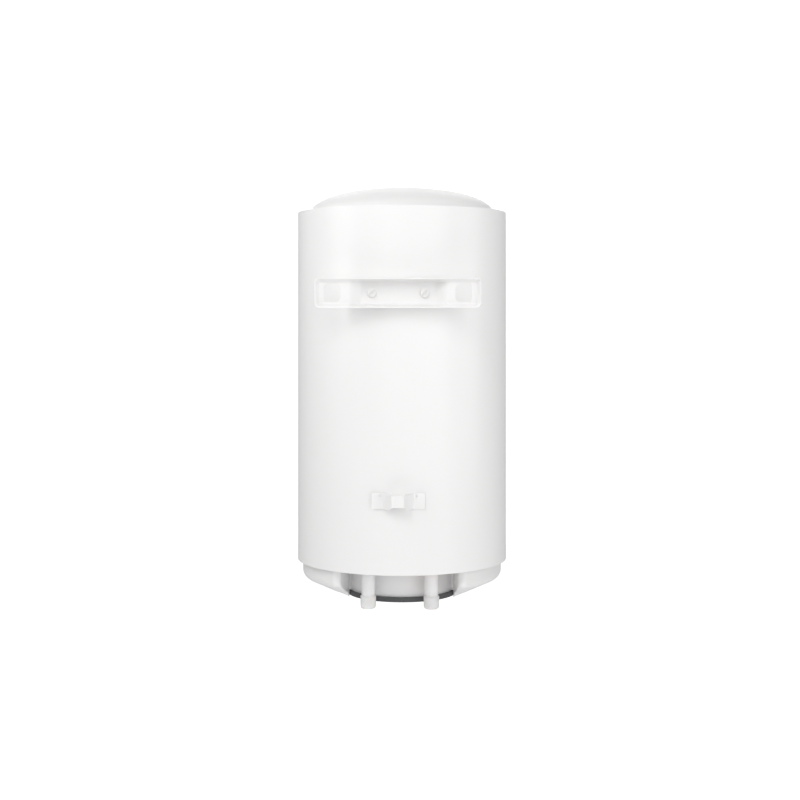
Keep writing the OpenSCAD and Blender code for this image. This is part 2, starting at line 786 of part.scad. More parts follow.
module gland_nut() color("gray") on_axis() translate([0, gland_y, 0]) difference() {
    translate([0, 0, deck_z]) cylinder(r = 9.5, h = 4, $fn = 6);
    rod(gland_r + running, bottom_z, bottom_z + 8);
}

// ---- wall brackets ----

// Plan of the pan from the wall plane back to its sheet, drawn t thick inside it
module pan_plan(t) {
    half = bracket_w / 2 - t;
    foot = bracket_mid + bracket_slope - t * 0.4;
    mid = bracket_mid - t * 0.4;
    deep = bracket_mid_d - t;
    shallow = bracket_end_d - t;
    wall_y = t > 0 ? over : 0;
    polygon([
        [-half, wall_y], [-half, -shallow], [-foot, -shallow], [-mid, -deep],
        [mid, -deep], [foot, -shallow], [half, -shallow], [half, wall_y],
    ]);
}

// Rounded prism along Y that trims the pan's outline
module pan_outline(t) translate([0, 5, 0]) rotate([90, 0, 0]) linear_extrude(40)
    round_rect(bracket_w - 2 * t, bracket_h - 2 * t, bracket_corner - t);

module pan(t) intersection() {
    translate([0, 0, -bracket_h / 2]) linear_extrude(bracket_h) pan_plan(t);
    pan_outline(t);
}

module hook_bracket() color("white") difference() {
    pan(0);
    pan(bracket_t);
    left_right(hook_pitch / 2) rotate([90, 0, 0]) linear_extrude(40) round_rect(hook_w, hook_h, 6);
    left_right(screw_pitch / 2) rod_y(stud_r + gap, -30, 0);
}

// Slotted pan-head screws; the slots lie at 45 degrees
module bracket_screws() color("gainsboro") left_right(screw_pitch / 2) {
    seat = -bracket_mid_d + bracket_t;
    difference() {
        union() {
            translate([0, seat, 0]) rotate([-90, 0, 0]) rotate_extrude() polygon(concat(
                [[0, 0], [head_r, 0]],
                arc([head_r - 3, head_h - 3], 3, 0, 90, 5),
                [[0, head_h]]
            ));
            rod_y(stud_r, seat - 18, seat);
        }
        translate([0, seat + head_h - slot_w, 0]) rotate([0, -45, 0])
            translate([-slot_w / 2, 0, -10]) cube([slot_w, 3, 20]);
    }
}

// Threaded bosses welded to the tank; they reach through the foam to the bracket
module bracket_bosses() color("silver") on_axis() difference() {
    left_right(screw_pitch / 2) rod_y(boss_r, 138, casing_r + gap);
    translate([0, 0, -40]) cylinder(r = tank_r + running, h = 80, $fn = 360);
    left_right(screw_pitch / 2) rod_y(stud_r + 0.1, casing_r - 20, casing_r + over);
}

// Hat-shaped strip: a face on the wall, two slopes and two flat feet welded on near the slopes
module spacer_bracket() color("white") {
    t = spacer_t;
    weld_x = spacer_foot - t * 0.7;
    foot_y = -wall_gap - casing_r + sqrt(pow(casing_r, 2) - pow(weld_x, 2)) + 0.2;
    translate([0, 0, -spacer_drop]) difference() {
        translate([0, 0, -spacer_h / 2]) linear_extrude(spacer_h) polygon([
            [-spacer_end, foot_y + t], [-spacer_foot, foot_y + t], [-spacer_face, 0],
            [spacer_face, 0], [spacer_foot, foot_y + t], [spacer_end, foot_y + t],
            [spacer_end, foot_y], [weld_x, foot_y],
            [spacer_face - t * 0.8, -t], [-spacer_face + t * 0.8, -t],
            [-weld_x, foot_y], [-spacer_end, foot_y],
        ]);
        // chamfered notches in the upper and lower edges of the face
        for (edge = [[1, 2], [-1, 5]]) mirror([0, 0, edge[0] > 0 ? 0 : 1])
            translate([0, 2, 0]) rotate([90, 0, 0]) linear_extrude(14) polygon([
                [-spacer_face, spacer_h / 2 - edge[1]], [spacer_face, spacer_h / 2 - edge[1]],
                [spacer_face + edge[1] + 1, spacer_h / 2 + 1],
                [-spacer_face - edge[1] - 1, spacer_h / 2 + 1],
            ]);
        left_right((spacer_foot + spacer_end) / 2 - 4) translate([0, 0, spacer_h / 2 - 5])
            rod_y(1.2, -40, 0);
    }
}

// ---- thermometer on the front ----

module at_gauge() on_axis() translate([0, 0, gauge_z]) children();

module thermometer_housing() color("dimgray") at_gauge() difference() {
    union() {
        difference() {
            rod_y(cup_r, -cup_front, -cup_back);
            rod_y(cup_r - cup_t, -cup_front - over, -cup_back - cup_t);
        }
        rod_y(5, -dial_y, -cup_back - 1);
    }
    rod_y(spindle_r + running, -cup_front, -cup_back - 1);
}

module thermometer_bezel() color("silver") at_gauge() difference() {
    rod_y(gauge_r, -casing_r - 5, -casing_r + 4);
    rod_y(glass_r - 1.5, -casing_r - 6, -casing_r);
    rod_y(glass_r + gap, -casing_r - 3.5, -casing_r);
    rod_y(cup_r + gap, -casing_r - 2, -casing_r + 5);
    translate([0, 0, -50]) cylinder(r = casing_r + 0.1, h = 100, $fn = 360);
}

module thermometer_dial() color("white") at_gauge() difference() {
    rod_y(cup_r - cup_t - 0.2, -dial_y - 0.8, -dial_y);
    rod_y(spindle_r + gap, -dial_y - 2, -cup_back);
}

// Pointer with a counterweight, turned to the low end of the scale
module thermometer_needle() color("orangered") at_gauge() rotate([0, -needle_rest, 0]) difference() {
    back = dial_y + 2.8;
    union() {
        translate([0, -back, 0]) rotate([90, 0, 0]) linear_extrude(0.8)
            polygon([[-1, 0], [-0.25, needle_l], [0.25, needle_l], [1, 0], [0.8, -5], [-0.8, -5]]);
        rod_y(2.2, -back - 1.2, -back + 0.4);
        translate([0, 0, -6]) rod_y(1.9, -back - 0.8, -back);
    }
    rod_y(spindle_r, -back - 0.8, -cup_back);
}

module thermometer_spindle() color("gold") at_gauge() rod_y(spindle_r, -dial_y - 3.6, -cup_back - 2);

module thermometer_glass() color("lightblue", 0.4) at_gauge()
    rod_y(glass_r, -casing_r - 3.4, -casing_r - 2.1);

// Bulb that lies against the tank behind the gauge, with its capillary
module thermometer_bulb() color("peru") at_gauge() {
    lie_y = -tank_r - 3.4;
    translate([0, lie_y, 0]) rod(3, 30, 80);
    wire([[0, -cup_back + 0.6, 6], [0, lie_y - 1, 9], [0, lie_y, 20], [0, lie_y, 30]], capillary_r);
}

// ---- the assembly ----

outer_casing();
top_cover();
bottom_cover();
service_cover();
service_cover_screws();
base_ring();
insulation_foam();
inner_tank();
tank_flange();
flange_gasket();
flange_studs();
flange_washers();
flange_nuts();
heating_element();
element_terminals();
magnesium_anode();
anode_nut();
sensor_pocket();
sensor_bulbs();
thermostat_strap();
thermostat_body();
thermostat_tabs();
thermostat_screws();
thermostat_shaft();
control_knob();
cutout_body();
reset_button();
terminal_block();
terminal_screws();
live_wire();
neutral_wire();
earth_wire();
earth_screw();
element_leads();
lamp_leads();
indicator_lamp();
indicator_lens();
cold_inlet_pipe();
hot_outlet_pipe();
hot_standpipe();
cold_diffuser();
cold_rosette();
hot_rosette();
cold_thread_cap();
hot_thread_cap();
cable_gland();
gland_nut();
hook_bracket();
bracket_screws();
bracket_bosses();
spacer_bracket();
thermometer_housing();
thermometer_bezel();
thermometer_dial();
thermometer_needle();
thermometer_spindle();
thermometer_glass();
thermometer_bulb();
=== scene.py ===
"""Looks of a wall-hung storage water heater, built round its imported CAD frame.

Shapes are worked out in millimetres and become metres when a mesh is made. The heater's own axis is
upright, its back faces +Y, where the wall is, and its front faces -Y.
"""

import json
import math

import bmesh
import bpy
import numpy as np
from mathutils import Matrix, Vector


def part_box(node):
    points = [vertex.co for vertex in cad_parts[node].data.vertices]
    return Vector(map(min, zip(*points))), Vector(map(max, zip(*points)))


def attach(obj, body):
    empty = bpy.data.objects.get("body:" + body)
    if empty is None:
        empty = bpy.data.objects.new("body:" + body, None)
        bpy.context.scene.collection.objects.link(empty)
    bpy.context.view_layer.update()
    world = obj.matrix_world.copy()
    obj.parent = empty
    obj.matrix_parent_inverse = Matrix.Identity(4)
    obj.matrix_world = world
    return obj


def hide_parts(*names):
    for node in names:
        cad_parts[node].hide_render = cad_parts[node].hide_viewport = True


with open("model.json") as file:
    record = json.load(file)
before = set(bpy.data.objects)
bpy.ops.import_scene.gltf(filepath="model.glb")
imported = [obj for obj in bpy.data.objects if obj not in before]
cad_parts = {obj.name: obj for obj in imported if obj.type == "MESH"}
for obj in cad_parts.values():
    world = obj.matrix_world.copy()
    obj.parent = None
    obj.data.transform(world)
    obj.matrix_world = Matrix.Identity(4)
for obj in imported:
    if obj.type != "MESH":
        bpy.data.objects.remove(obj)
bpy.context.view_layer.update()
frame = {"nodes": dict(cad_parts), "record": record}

MM = 0.001
SLOT_OF = {part["node"]: part["material_slot"] for part in frame["record"]["subparts"]}
BODY_OF = {n: body for body, nodes in frame["record"]["behaviour"]["bodies"].items() for n in nodes}


def box(node):
    """Lowest and highest corner of a CAD node, in millimetres, to a tenth."""
    lo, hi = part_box(node)
    return np.round(np.array(lo) / MM, 1), np.round(np.array(hi) / MM, 1)


def middle(node):
    """Middle of a CAD node's box, in millimetres."""
    lo, hi = box(node)
    return (lo + hi) / 2


# The heater's axis and main sizes, from the frame
CASING_LO, CASING_HI = box("outer_casing")
AXIS = np.array([0, round((CASING_LO[1] + CASING_HI[1]) / 2), 0])
CASING_R = round(CASING_HI[0] - CASING_LO[0]) / 2
TOP = CASING_HI[2]
BOTTOM = CASING_LO[2]
APEX = box("top_cover")[1][2]
GAUGE_Z = middle("thermometer_bezel")[2]
FRONT = AXIS[1] - CASING_R
SHEET = 0.8

# Both covers fit inside the casing at this radius
INSET_R = CASING_R - 1.1

# Distance of the two bracket screws from the middle, and radius of the thermometer's hole
SCREW_X = 40.5
GAUGE_HOLE_R = 23.8


# ---- shapes: each is a pair of points and faces ----


def rounded(corners, steps=6, closed=True):
    """Outline through corners (a, b, radius), each turned into an arc of its radius.

    A corner without a radius stays sharp.
    """
    points = []
    for i, corner in enumerate(corners):
        here = np.array(corner[:2], float)
        radius = corner[2] if len(corner) > 2 else 0
        if radius <= 0 or (not closed and i in (0, len(corners) - 1)):
            points.append(here)
            continue
        back = np.array(corners[i - 1][:2], float) - here
        on = np.array(corners[(i + 1) % len(corners)][:2], float) - here
        a = back / np.linalg.norm(back)
        b = on / np.linalg.norm(on)
        half = math.acos(np.clip(a @ b, -1, 1)) / 2
        reach = min(radius / math.tan(half), 0.49 * min(np.linalg.norm(back), np.linalg.norm(on)))
        radius = reach * math.tan(half)
        centre = here + (a + b) / np.linalg.norm(a + b) * radius / math.sin(half)
        sweep = math.pi - 2 * half
        for t in np.linspace(0, 1, steps + 1):
            start = math.sin((1 - t) * sweep) * (here + a * reach - centre)
            end = math.sin(t * sweep) * (here + b * reach - centre)
            points.append(centre + (start + end) / math.sin(sweep))
    return np.array(points)


def spaced(points, step):
    """The same open line, with points added so that no stretch is longer than step."""
    out = [points[0]]
    for a, b in zip(points[:-1], points[1:]):
        count = max(1, math.ceil(np.linalg.norm(b - a) / step))
        out.extend(a + (b - a) * k / count for k in range(1, count + 1))
    return np.array(out)


def grid_faces(rows, columns, loop_rows=False, loop_columns=False):
    """Quads over a grid of points, which may close on itself either way."""
    return [
        (r * columns + c, r * columns + (c + 1) % columns,
         (r + 1) % rows * columns + (c + 1) % columns, (r + 1) % rows * columns + c)
        for r in range(rows if loop_rows else rows - 1)
        for c in range(columns if loop_columns else columns - 1)
    ]


def lathe(outline, at=(0, 0, 0), segments=192, along="z", form=None):
    """Closed outline of (radius, height) points turned about an axis.

    form(r, h, angle) may reshape the radius.
    """
    angles = np.linspace(0, 2 * math.pi, segments, endpoint=False)[:, None]
    r, h = np.asarray(outline, float).T
    if form:
        r = form(r[None, :], h[None, :], angles)
    flat = [r * np.cos(angles), r * np.sin(angles), h + 0 * angles]
    if along == "y":
        flat = [flat[0], flat[2], flat[1]]
    points = np.stack(flat, axis=-1).reshape(-1, 3) + np.asarray(at, float)
    return points, grid_faces(segments, len(outline), loop_rows=True, loop_columns=True)


def disc(radius, low, high, at=(0, 0, 0), segments=64, along="z"):
    """Plain round cutter between two heights."""
    return lathe([(0, low), (radius, low), (radius, high), (0, high)], at, segments, along)


def loft(rings):
    """Closed rings of points joined one to the next, with a flat face at each end."""
    count = len(rings[0])
    faces = grid_faces(len(rings), count, loop_columns=True)
    faces.append(tuple(range(count)))
    faces.append(tuple(range(len(rings) * count - 1, (len(rings) - 1) * count - 1, -1)))
    return np.concatenate(rings), faces


def prism(outline, low, high, at=(0, 0, 0), along="z", edge=0.0, steps=3):
    """Outline of (a, b) points raised from low to high, with both rims rounded by edge."""
    outline = np.asarray(outline, float)
    ahead = np.roll(outline, -1, axis=0)
    turn = np.sign(np.sum(outline[:, 0] * ahead[:, 1] - ahead[:, 0] * outline[:, 1]))
    normals = []
    for v in (outline - np.roll(outline, 1, axis=0), ahead - outline):
        normals.append(np.stack([v[:, 1], -v[:, 0]], 1) / np.linalg.norm(v, axis=1)[:, None])
    out = (normals[0] + normals[1]) * turn
    out = out / (1 + np.sum(normals[0] * normals[1], axis=1))[:, None]
    turns = np.linspace(0, math.pi / 2, steps + 1) if edge else np.array([math.pi / 2])
    rings = []
    for end, way, arc in ((low, 1, turns), (high, -1, turns[::-1])):
        for t in arc:
            flat = outline - out * edge * (1 - math.sin(t))
            level = np.full(len(flat), end + way * edge * (1 - math.cos(t)))
            order = (flat[:, 0], flat[:, 1], level) if along == "z" else (flat[:, 0], level, flat[:, 1])
            rings.append(np.stack(order, axis=1) + np.asarray(at, float))
    return loft(rings)


def block(width, depth, radius=0.0):
    """Outline of a rectangle centred on the origin, with rounded corners."""
    a, b = width / 2, depth / 2
    return rounded([(-a, -b, radius), (a, -b, radius), (a, b, radius), (-a, b, radius)], 4)


def turned(shape, angle, about=(0, 0, 0), axis="z"):
    """The shape turned by an angle in degrees about an upright or a front-to-back axis."""
    points = shape[0] - np.asarray(about, float)
    c, s = math.cos(math.radians(angle)), math.sin(math.radians(angle))
    i, j = (0, 1) if axis == "z" else (0, 2)
    moved = points.copy()
    moved[:, i] = c * points[:, i] - s * points[:, j]
    moved[:, j] = s * points[:, i] + c * points[:, j]
    return moved + np.asarray(about, float), shape[1]


# ---- meshes and pieces ----


def solid(name, *shapes):
    """One mesh object from shapes in millimetres, welded, with its faces turned outwards."""
    mesh = bpy.data.meshes.new(name)
    points, faces, count = [], [], 0
    for shape in shapes:
        points.append(shape[0] * MM)
        faces.extend(tuple(i + count for i in face) for face in shape[1])
        count += len(shape[0])
    mesh.from_pydata(np.concatenate(points).tolist(), [], faces)
    work = bmesh.new()
    work.from_mesh(mesh)
    bmesh.ops.remove_doubles(work, verts=work.verts, dist=2e-7)
    bmesh.ops.dissolve_degenerate(work, edges=work.edges, dist=1e-7)
    bmesh.ops.delete(work, geom=[edge for edge in work.edges if edge.is_wire], context="EDGES")
    bmesh.ops.recalc_face_normals(work, faces=work.faces)
    work.to_mesh(mesh)
    work.free()
    obj = bpy.data.objects.new(name, mesh)
    bpy.context.scene.collection.objects.link(obj)
    return obj


def settle(obj):
    """Turns an object's modifiers into its own mesh."""
    graph = bpy.context.evaluated_depsgraph_get()
    mesh = bpy.data.meshes.new_from_object(obj.evaluated_get(graph), depsgraph=graph)
    old = obj.data
    obj.modifiers.clear()
    obj.data = mesh
    bpy.data.meshes.remove(old)
    return obj


def carve(obj, *shapes, mode="DIFFERENCE"):
    """Cuts shapes out of an object, or joins them to it with mode UNION."""
    tool = solid("tool", *shapes)
    step = obj.modifiers.new("carve", "BOOLEAN")
    step.operation = mode
    step.solver = "EXACT"
    step.object = tool
    settle(obj)
    bpy.data.objects.remove(tool)
    return obj


def soften(obj, width, angle=50, segments=3):
    """Rounds the edges that are sharper than an angle."""
    step = obj.modifiers.new("soften", "BEVEL")
    step.width = width * MM
    step.segments = segments
    step.limit_method = "ANGLE"
    step.angle_limit = math.radians(angle)
    return settle(obj)


def fit(obj, slot, *nodes, body=None, crease=35, look=None):
    """Shades a piece, gives it its finish and ties it to the body of the CAD nodes that it stands for.

    crease is the angle in degrees from which an edge stays sharp, and look a finish other than the slot's.
    """
    obj.data.shade_smooth()
    obj.data.set_sharp_from_angle(angle=math.radians(crease))
    step = obj.modifiers.new("even", "WEIGHTED_NORMAL")
    step.keep_sharp = True
    settle(obj)
    obj.data.materials.clear()
    obj.data.materials.append(finish(look or slot))
    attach(obj, body or BODY_OF[nodes[0]])
    if nodes:
        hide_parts(*nodes)
    return obj


# ---- finishes ----


class Recipe:
    """A material's nodes. Every texture reads the object's own coordinates, in metres."""

    def __init__(self, name, **sockets):
        self.material = bpy.data.materials.new(name)
        self.material.use_nodes = True
        self.tree = self.material.node_tree
        self.shader = self.tree.nodes["Principled BSDF"]
        self.place = self.node("TexCoord").outputs["Object"]
        for key, value in sockets.items():
            self.shader.inputs[key.replace("_", " ")].default_value = value

    def node(self, kind, inputs=None, **settings):
        made = self.tree.nodes.new("ShaderNode" + kind)
        for key, value in settings.items():
            setattr(made, key, value)
        for key, value in (inputs or {}).items():
            if isinstance(value, bpy.types.NodeSocket):
                self.tree.links.new(value, made.inputs[key])
            else:
                made.inputs[key].default_value = value
        return made

    def set(self, key, output):
        self.tree.links.new(output, self.shader.inputs[key])

    def where(self, stretch=(1, 1, 1), shift=0.0):
        inputs = {"Vector": self.place, "Scale": stretch, "Location": (shift, shift * 0.7, shift * 1.3)}
        return self.node("Mapping", inputs).outputs["Vector"]

    def noise(self, size, detail=2.0, stretch=(1, 1, 1), shift=0.0):
        """Soft noise whose features are about size millimetres."""
        inputs = {"Vector": self.where(stretch, shift), "Scale": 1 / (size * MM), "Detail": detail}
        return self.node("TexNoise", inputs).outputs["Fac"]

    def cells(self, size, output="Distance", feature="F1"):
        inputs = {"Vector": self.place, "Scale": 1 / (size * MM)}
        return self.node("TexVoronoi", inputs, feature=feature).outputs[output]

    def spread(self, value, low, high, start=0.3, end=0.7):
        inputs = {"Value": value, "From Min": start, "From Max": end, "To Min": low, "To Max": high}
        return self.node("MapRange", inputs).outputs["Result"]

    def ramp(self, value, *stops):
        """Colours at places from 0 to 1, as (place, colour)."""
        made = self.node("ValToRGB", {"Fac": value})
        made.color_ramp.elements[0].position = stops[0][0]
        made.color_ramp.elements[0].color = (*stops[0][1], 1)
        made.color_ramp.elements[1].position = stops[-1][0]
        made.color_ramp.elements[1].color = (*stops[-1][1], 1)
        for place, colour in stops[1:-1]:
            made.color_ramp.elements.new(place).color = (*colour, 1)
        return made.outputs["Color"]

    def mix(self, factor, a, b, blend="MIX"):
        made = self.tree.nodes.new("ShaderNodeMix")
        made.data_type = "RGBA"
        made.blend_type = blend
        for index, value in ((0, factor), (6, a), (7, b)):
            if isinstance(value, bpy.types.NodeSocket):
                self.tree.links.new(value, made.inputs[index])
            else:
                made.inputs[index].default_value = value if index == 0 else (*value, 1)
        return made.outputs[2]

    def bump(self, height, depth, below=None):
        """Raises the surface by up to depth millimetres, over another bump if there is one."""
        inputs = {"Height": height, "Strength": 1.0, "Distance": depth * MM}
        if below:
            inputs["Normal"] = below
        return self.node("Bump", inputs).outputs["Normal"]


def shade(colour, factor):
    return tuple(min(1.0, c * factor) for c in colour)


def plain(name, colour, rough, grain, depth, patch=40, vary=0.06, **sockets):
    """Moulded or painted surface: faint patches, a grain in the surface and uneven gloss."""
    made = Recipe(name, **sockets)
    cloud = made.noise(patch, 4.0)
    made.set("Base Color", made.ramp(cloud, (0.3, shade(colour, 1 - vary)), (0.7, colour)))
    made.set("Roughness", made.spread(made.noise(patch * 0.3, 3.0, shift=3.0), rough - 0.05, rough + 0.05))
    coarse = made.bump(made.noise(grain * 6, 1.0, shift=7.0), depth * 1.5)
    made.set("Normal", made.bump(made.noise(grain, 3.0), depth, coarse))
    return made


def enamel(name, colour, rough=0.33, peel=2.6, depth=0.012, **sockets):
    """Baked white paint: orange peel, dust nibs and a faint drift in the white."""
    made = Recipe(name, IOR=1.5, **sockets)
    drift = made.ramp(made.noise(160, 1.0), (0.2, shade(colour, 0.985)), (0.8, colour))
    speck = made.spread(made.cells(11.0), 1.0, 0.0, 0.012, 0.028)
    fleck = made.mix(speck, (0, 0, 0), (1, 1, 1))
    made.set("Base Color", made.mix(fleck, drift, shade(colour, 0.9)))
    made.set("Roughness", made.spread(made.noise(60, 1.0, shift=5.0), rough - 0.02, rough + 0.02, 0.1, 0.9))
    skin = made.bump(made.noise(peel, 1.0), depth)
    made.set("Normal", made.bump(speck, depth, skin))
    return made


def brushed(name, colour, rough=0.37, along=(1, 1, 14), metal=1.0, depth=0.004, tarnish=0.12):
    """Worked metal: fine lines one way, with duller patches."""
    made = Recipe(name, Metallic=metal)
    patch = made.noise(14, 5.0, shift=2.0)
    made.set("Base Color", made.ramp(patch, (0.32, shade(colour, 1 - tarnish)), (0.68, colour)))
    lines = made.noise(0.9, 4.0, stretch=tuple(1 / a for a in along))
    made.set("Roughness", made.spread(lines, rough - 0.08, rough + 0.1))
    made.set("Normal", made.bump(lines, depth))
    return made


def spangled(name, colour):
    """Galvanised sheet: grains of zinc that differ in tone and gloss."""
    made = Recipe(name, Metallic=1.0)
    grain = made.cells(7.0, "Color")
    tone = made.ramp(grain, (0.1, shade(colour, 0.72)), (0.9, colour))
    dull = made.ramp(made.noise(30, 5.0), (0.4, shade(colour, 0.9)), (0.7, (1, 1, 1)))
    made.set("Base Color", made.mix(1.0, tone, dull, "MULTIPLY"))
    made.set("Roughness", made.spread(grain, 0.28, 0.5, 0.1, 0.9))
    made.set("Normal", made.bump(made.noise(1.2, 3.0), 0.006))
    return made


def foamed(name, colour):
    """Rigid foam: open cells whose pits are darkened with painted shade, and a skin that has yellowed in
    patches.
    """
    made = Recipe(name, Roughness=0.95)
    cell = made.cells(1.8)
    aged = made.ramp(made.noise(60, 4.0), (0.35, shade(colour, 0.86)), (0.65, colour))
    # painted shade: the cell pits, the low points of the cell bump below, are darkened in the colour
    painted_pit_shade = made.ramp(cell, (0.0, (0.62, 0.5, 0.3)), (0.45, (1, 1, 1)))
    made.set("Base Color", made.mix(1.0, aged, painted_pit_shade, "MULTIPLY"))
    made.set("Normal", made.bump(cell, 0.5, made.bump(made.noise(12, 3.0), 0.6)))
    return made


def cast(name, colour):
    """Cast metal: a coarse skin with pits and grey oxide."""
    made = Recipe(name, Metallic=0.9)
    oxide = made.ramp(made.noise(8, 6.0), (0.35, shade(colour, 0.55)), (0.6, colour))
    made.set("Base Color", oxide)
    made.set("Roughness", made.spread(made.noise(3, 4.0), 0.45, 0.75))
    made.set("Normal", made.bump(made.cells(1.6), 0.12, made.bump(made.noise(5, 3.0), 0.2)))
    return made


def clear(name, colour, rough, depth, **sockets):
    """Clear or tinted moulding: light passes through, with faint moulding waves and handling haze."""
    made = Recipe(name, Transmission_Weight=1.0, IOR=1.49, **sockets)
    made.set("Base Color", made.ramp(made.noise(6, 2.0), (0.3, shade(colour, 0.96)), (0.7, colour)))
    made.set("Roughness", made.spread(made.noise(4, 4.0, shift=4.0), rough, rough + 0.05))
    made.set("Normal", made.bump(made.noise(5, 1.0), depth))
    return made


def striped(name, colour, stripe, pitch):
    """Insulation of the earth wire: two colours in a helix."""
    made = Recipe(name)
    inputs = {"Vector": made.place, "Scale": 0.33 / (pitch * MM), "Distortion": 0.4, "Detail": 0.0}
    band = made.node("TexWave", inputs, wave_type="BANDS", bands_direction="DIAGONAL")
    made.set("Base Color", made.ramp(band.outputs["Fac"], (0.45, colour), (0.55, stripe)))
    made.set("Roughness", made.spread(made.noise(3, 3.0), 0.38, 0.5))
    made.set("Normal", made.bump(made.noise(0.8, 2.0), 0.01))
    return made


WHITE = (0.87, 0.865, 0.862)
ZINC = (0.62, 0.64, 0.66)
FINISHES = {
    "white_enamel": lambda n: enamel(n, WHITE, Coat_Weight=0.2, Coat_Roughness=0.15),
    "cover_plastic": lambda n: plain(n, (0.82, 0.815, 0.812), 0.42, 0.35, 0.006, 60, 0.02),
    "cap_plastic": lambda n: plain(n, (0.77, 0.765, 0.76), 0.45, 0.5, 0.012, 12, 0.04,
                                   Subsurface_Weight=0.15, Subsurface_Scale=0.002),
    "dark_plastic": lambda n: plain(n, (0.085, 0.087, 0.09), 0.5, 0.3, 0.02, 30, 0.15),
    "grey_nylon": lambda n: plain(n, (0.3, 0.31, 0.32), 0.42, 0.6, 0.012, 10, 0.1),
    "foam": lambda n: foamed(n, (0.82, 0.72, 0.42)),
    "plain_plastic": lambda n: plain(n, (0.72, 0.71, 0.68), 0.5, 0.5, 0.01, 15, 0.05),
    "tank_enamel": lambda n: enamel(n, (0.03, 0.09, 0.22), 0.35, 3.5, 0.04, Coat_Weight=0.4),
    "zinc_steel": lambda n: spangled(n, ZINC),
    "bracket_screw_steel": lambda n: enamel(n, (0.84, 0.835, 0.83), 0.36, 1.2, 0.01),
    "gasket_rubber": lambda n: plain(n, (0.025, 0.025, 0.027), 0.75, 0.4, 0.03, 6, 0.3),
    "stainless": lambda n: brushed(n, (0.66, 0.65, 0.63), 0.38),
    "magnesium": lambda n: cast(n, (0.6, 0.61, 0.62)),
    "copper": lambda n: brushed(n, (0.78, 0.38, 0.22), 0.37, (1, 1, 8), 1.0, 0.003, 0.4),
    "brass": lambda n: brushed(n, (0.78, 0.58, 0.25), 0.37, (1, 1, 6), 1.0, 0.004, 0.25),
    "switch_plastic": lambda n: plain(n, (0.68, 0.66, 0.6), 0.5, 0.4, 0.012, 12, 0.08),
    "button_red": lambda n: plain(n, (0.62, 0.03, 0.02), 0.35, 0.4, 0.008, 4, 0.12),
    "wire_brown": lambda n: plain(n, (0.16, 0.06, 0.025), 0.42, 0.5, 0.01, 4, 0.2),
    "wire_blue": lambda n: plain(n, (0.03, 0.12, 0.48), 0.42, 0.5, 0.01, 4, 0.2),
    "wire_green": lambda n: striped(n, (0.06, 0.34, 0.05), (0.75, 0.62, 0.03), 4.0),
    "wire_black": lambda n: plain(n, (0.02, 0.02, 0.022), 0.45, 0.5, 0.01, 4, 0.3),
    "wire_red": lambda n: plain(n, (0.5, 0.02, 0.02), 0.42, 0.5, 0.01, 4, 0.2),
    "lamp_amber": lambda n: clear(n, (0.95, 0.5, 0.12), 0.15, 0.02),
    "lens_amber": lambda n: plain(n, (0.85, 0.3, 0.03), 0.2, 0.8, 0.006, 3, 0.12,
                                  Transmission_Weight=0.4, Coat_Weight=0.5),
    "ring_blue": lambda n: plain(n, (0.02, 0.12, 0.52), 0.38, 0.4, 0.01, 8, 0.12),
    "ring_red": lambda n: plain(n, (0.58, 0.025, 0.02), 0.38, 0.4, 0.01, 8, 0.12),
    "bezel_chrome": lambda n: brushed(n, (0.8, 0.8, 0.81), 0.12, (1, 1, 1), 1.0, 0.0008, 0.05),
    "dial_white": lambda n: plain(n, (0.84, 0.84, 0.82), 0.55, 0.25, 0.002, 9, 0.03),
    "needle_red": lambda n: plain(n, (0.72, 0.05, 0.015), 0.4, 0.3, 0.004, 3, 0.1),
    "gauge_glass": lambda n: clear(n, (0.97, 0.99, 0.98), 0.0, 0.004),
    "print_ink": lambda n: plain(n, (0.03, 0.03, 0.032), 0.5, 0.15, 0.002, 2, 0.25),
}
made_finishes = {}


def finish(slot):
    if slot not in made_finishes:
        made_finishes[slot] = FINISHES[slot](slot).material
    return made_finishes[slot]


# ---- casing and covers ----


def casing():
    """Rolled sheet: a lip turned in at the top and a folded hem at the bottom."""
    screw_z = middle("bracket_bosses")[2]
    screw_room, gauge_room = 12, 27
    levels = sorted([*np.arange(BOTTOM + 40, TOP - 20, 40), GAUGE_Z - gauge_room, GAUGE_Z + gauge_room,
                     screw_z - screw_room, screw_z + screw_room])
    inside = CASING_R - SHEET
    lip = CASING_R - 2.6
    hem, hem_top = inside - 0.9, BOTTOM + 8
    outline = rounded([
        (CASING_R, BOTTOM, 0.8),
        *[(CASING_R, z) for z in levels],
        (CASING_R, TOP, 1.5),
        (lip, TOP, 0.35),
        (lip, TOP - SHEET, 0.35),
        (inside, TOP - SHEET, 0.7),
        *[(inside, z) for z in levels[::-1]],
        (inside, hem_top, 0.2),
        (hem, hem_top, 0.4),
        (hem, BOTTOM, 0.8),
    ])
    made = solid("casing_sheet", lathe(outline, AXIS, 360))
    holes = [disc(8.3, -60, 0, (x, 0, screw_z), along="y") for x in (-SCREW_X, SCREW_X)]
    gauge_hole = disc(GAUGE_HOLE_R, FRONT - 5, FRONT + 20, (0, 0, GAUGE_Z), 96, "y")
    carve(made, gauge_hole, *holes)
    return fit(made, "white_enamel", "outer_casing")


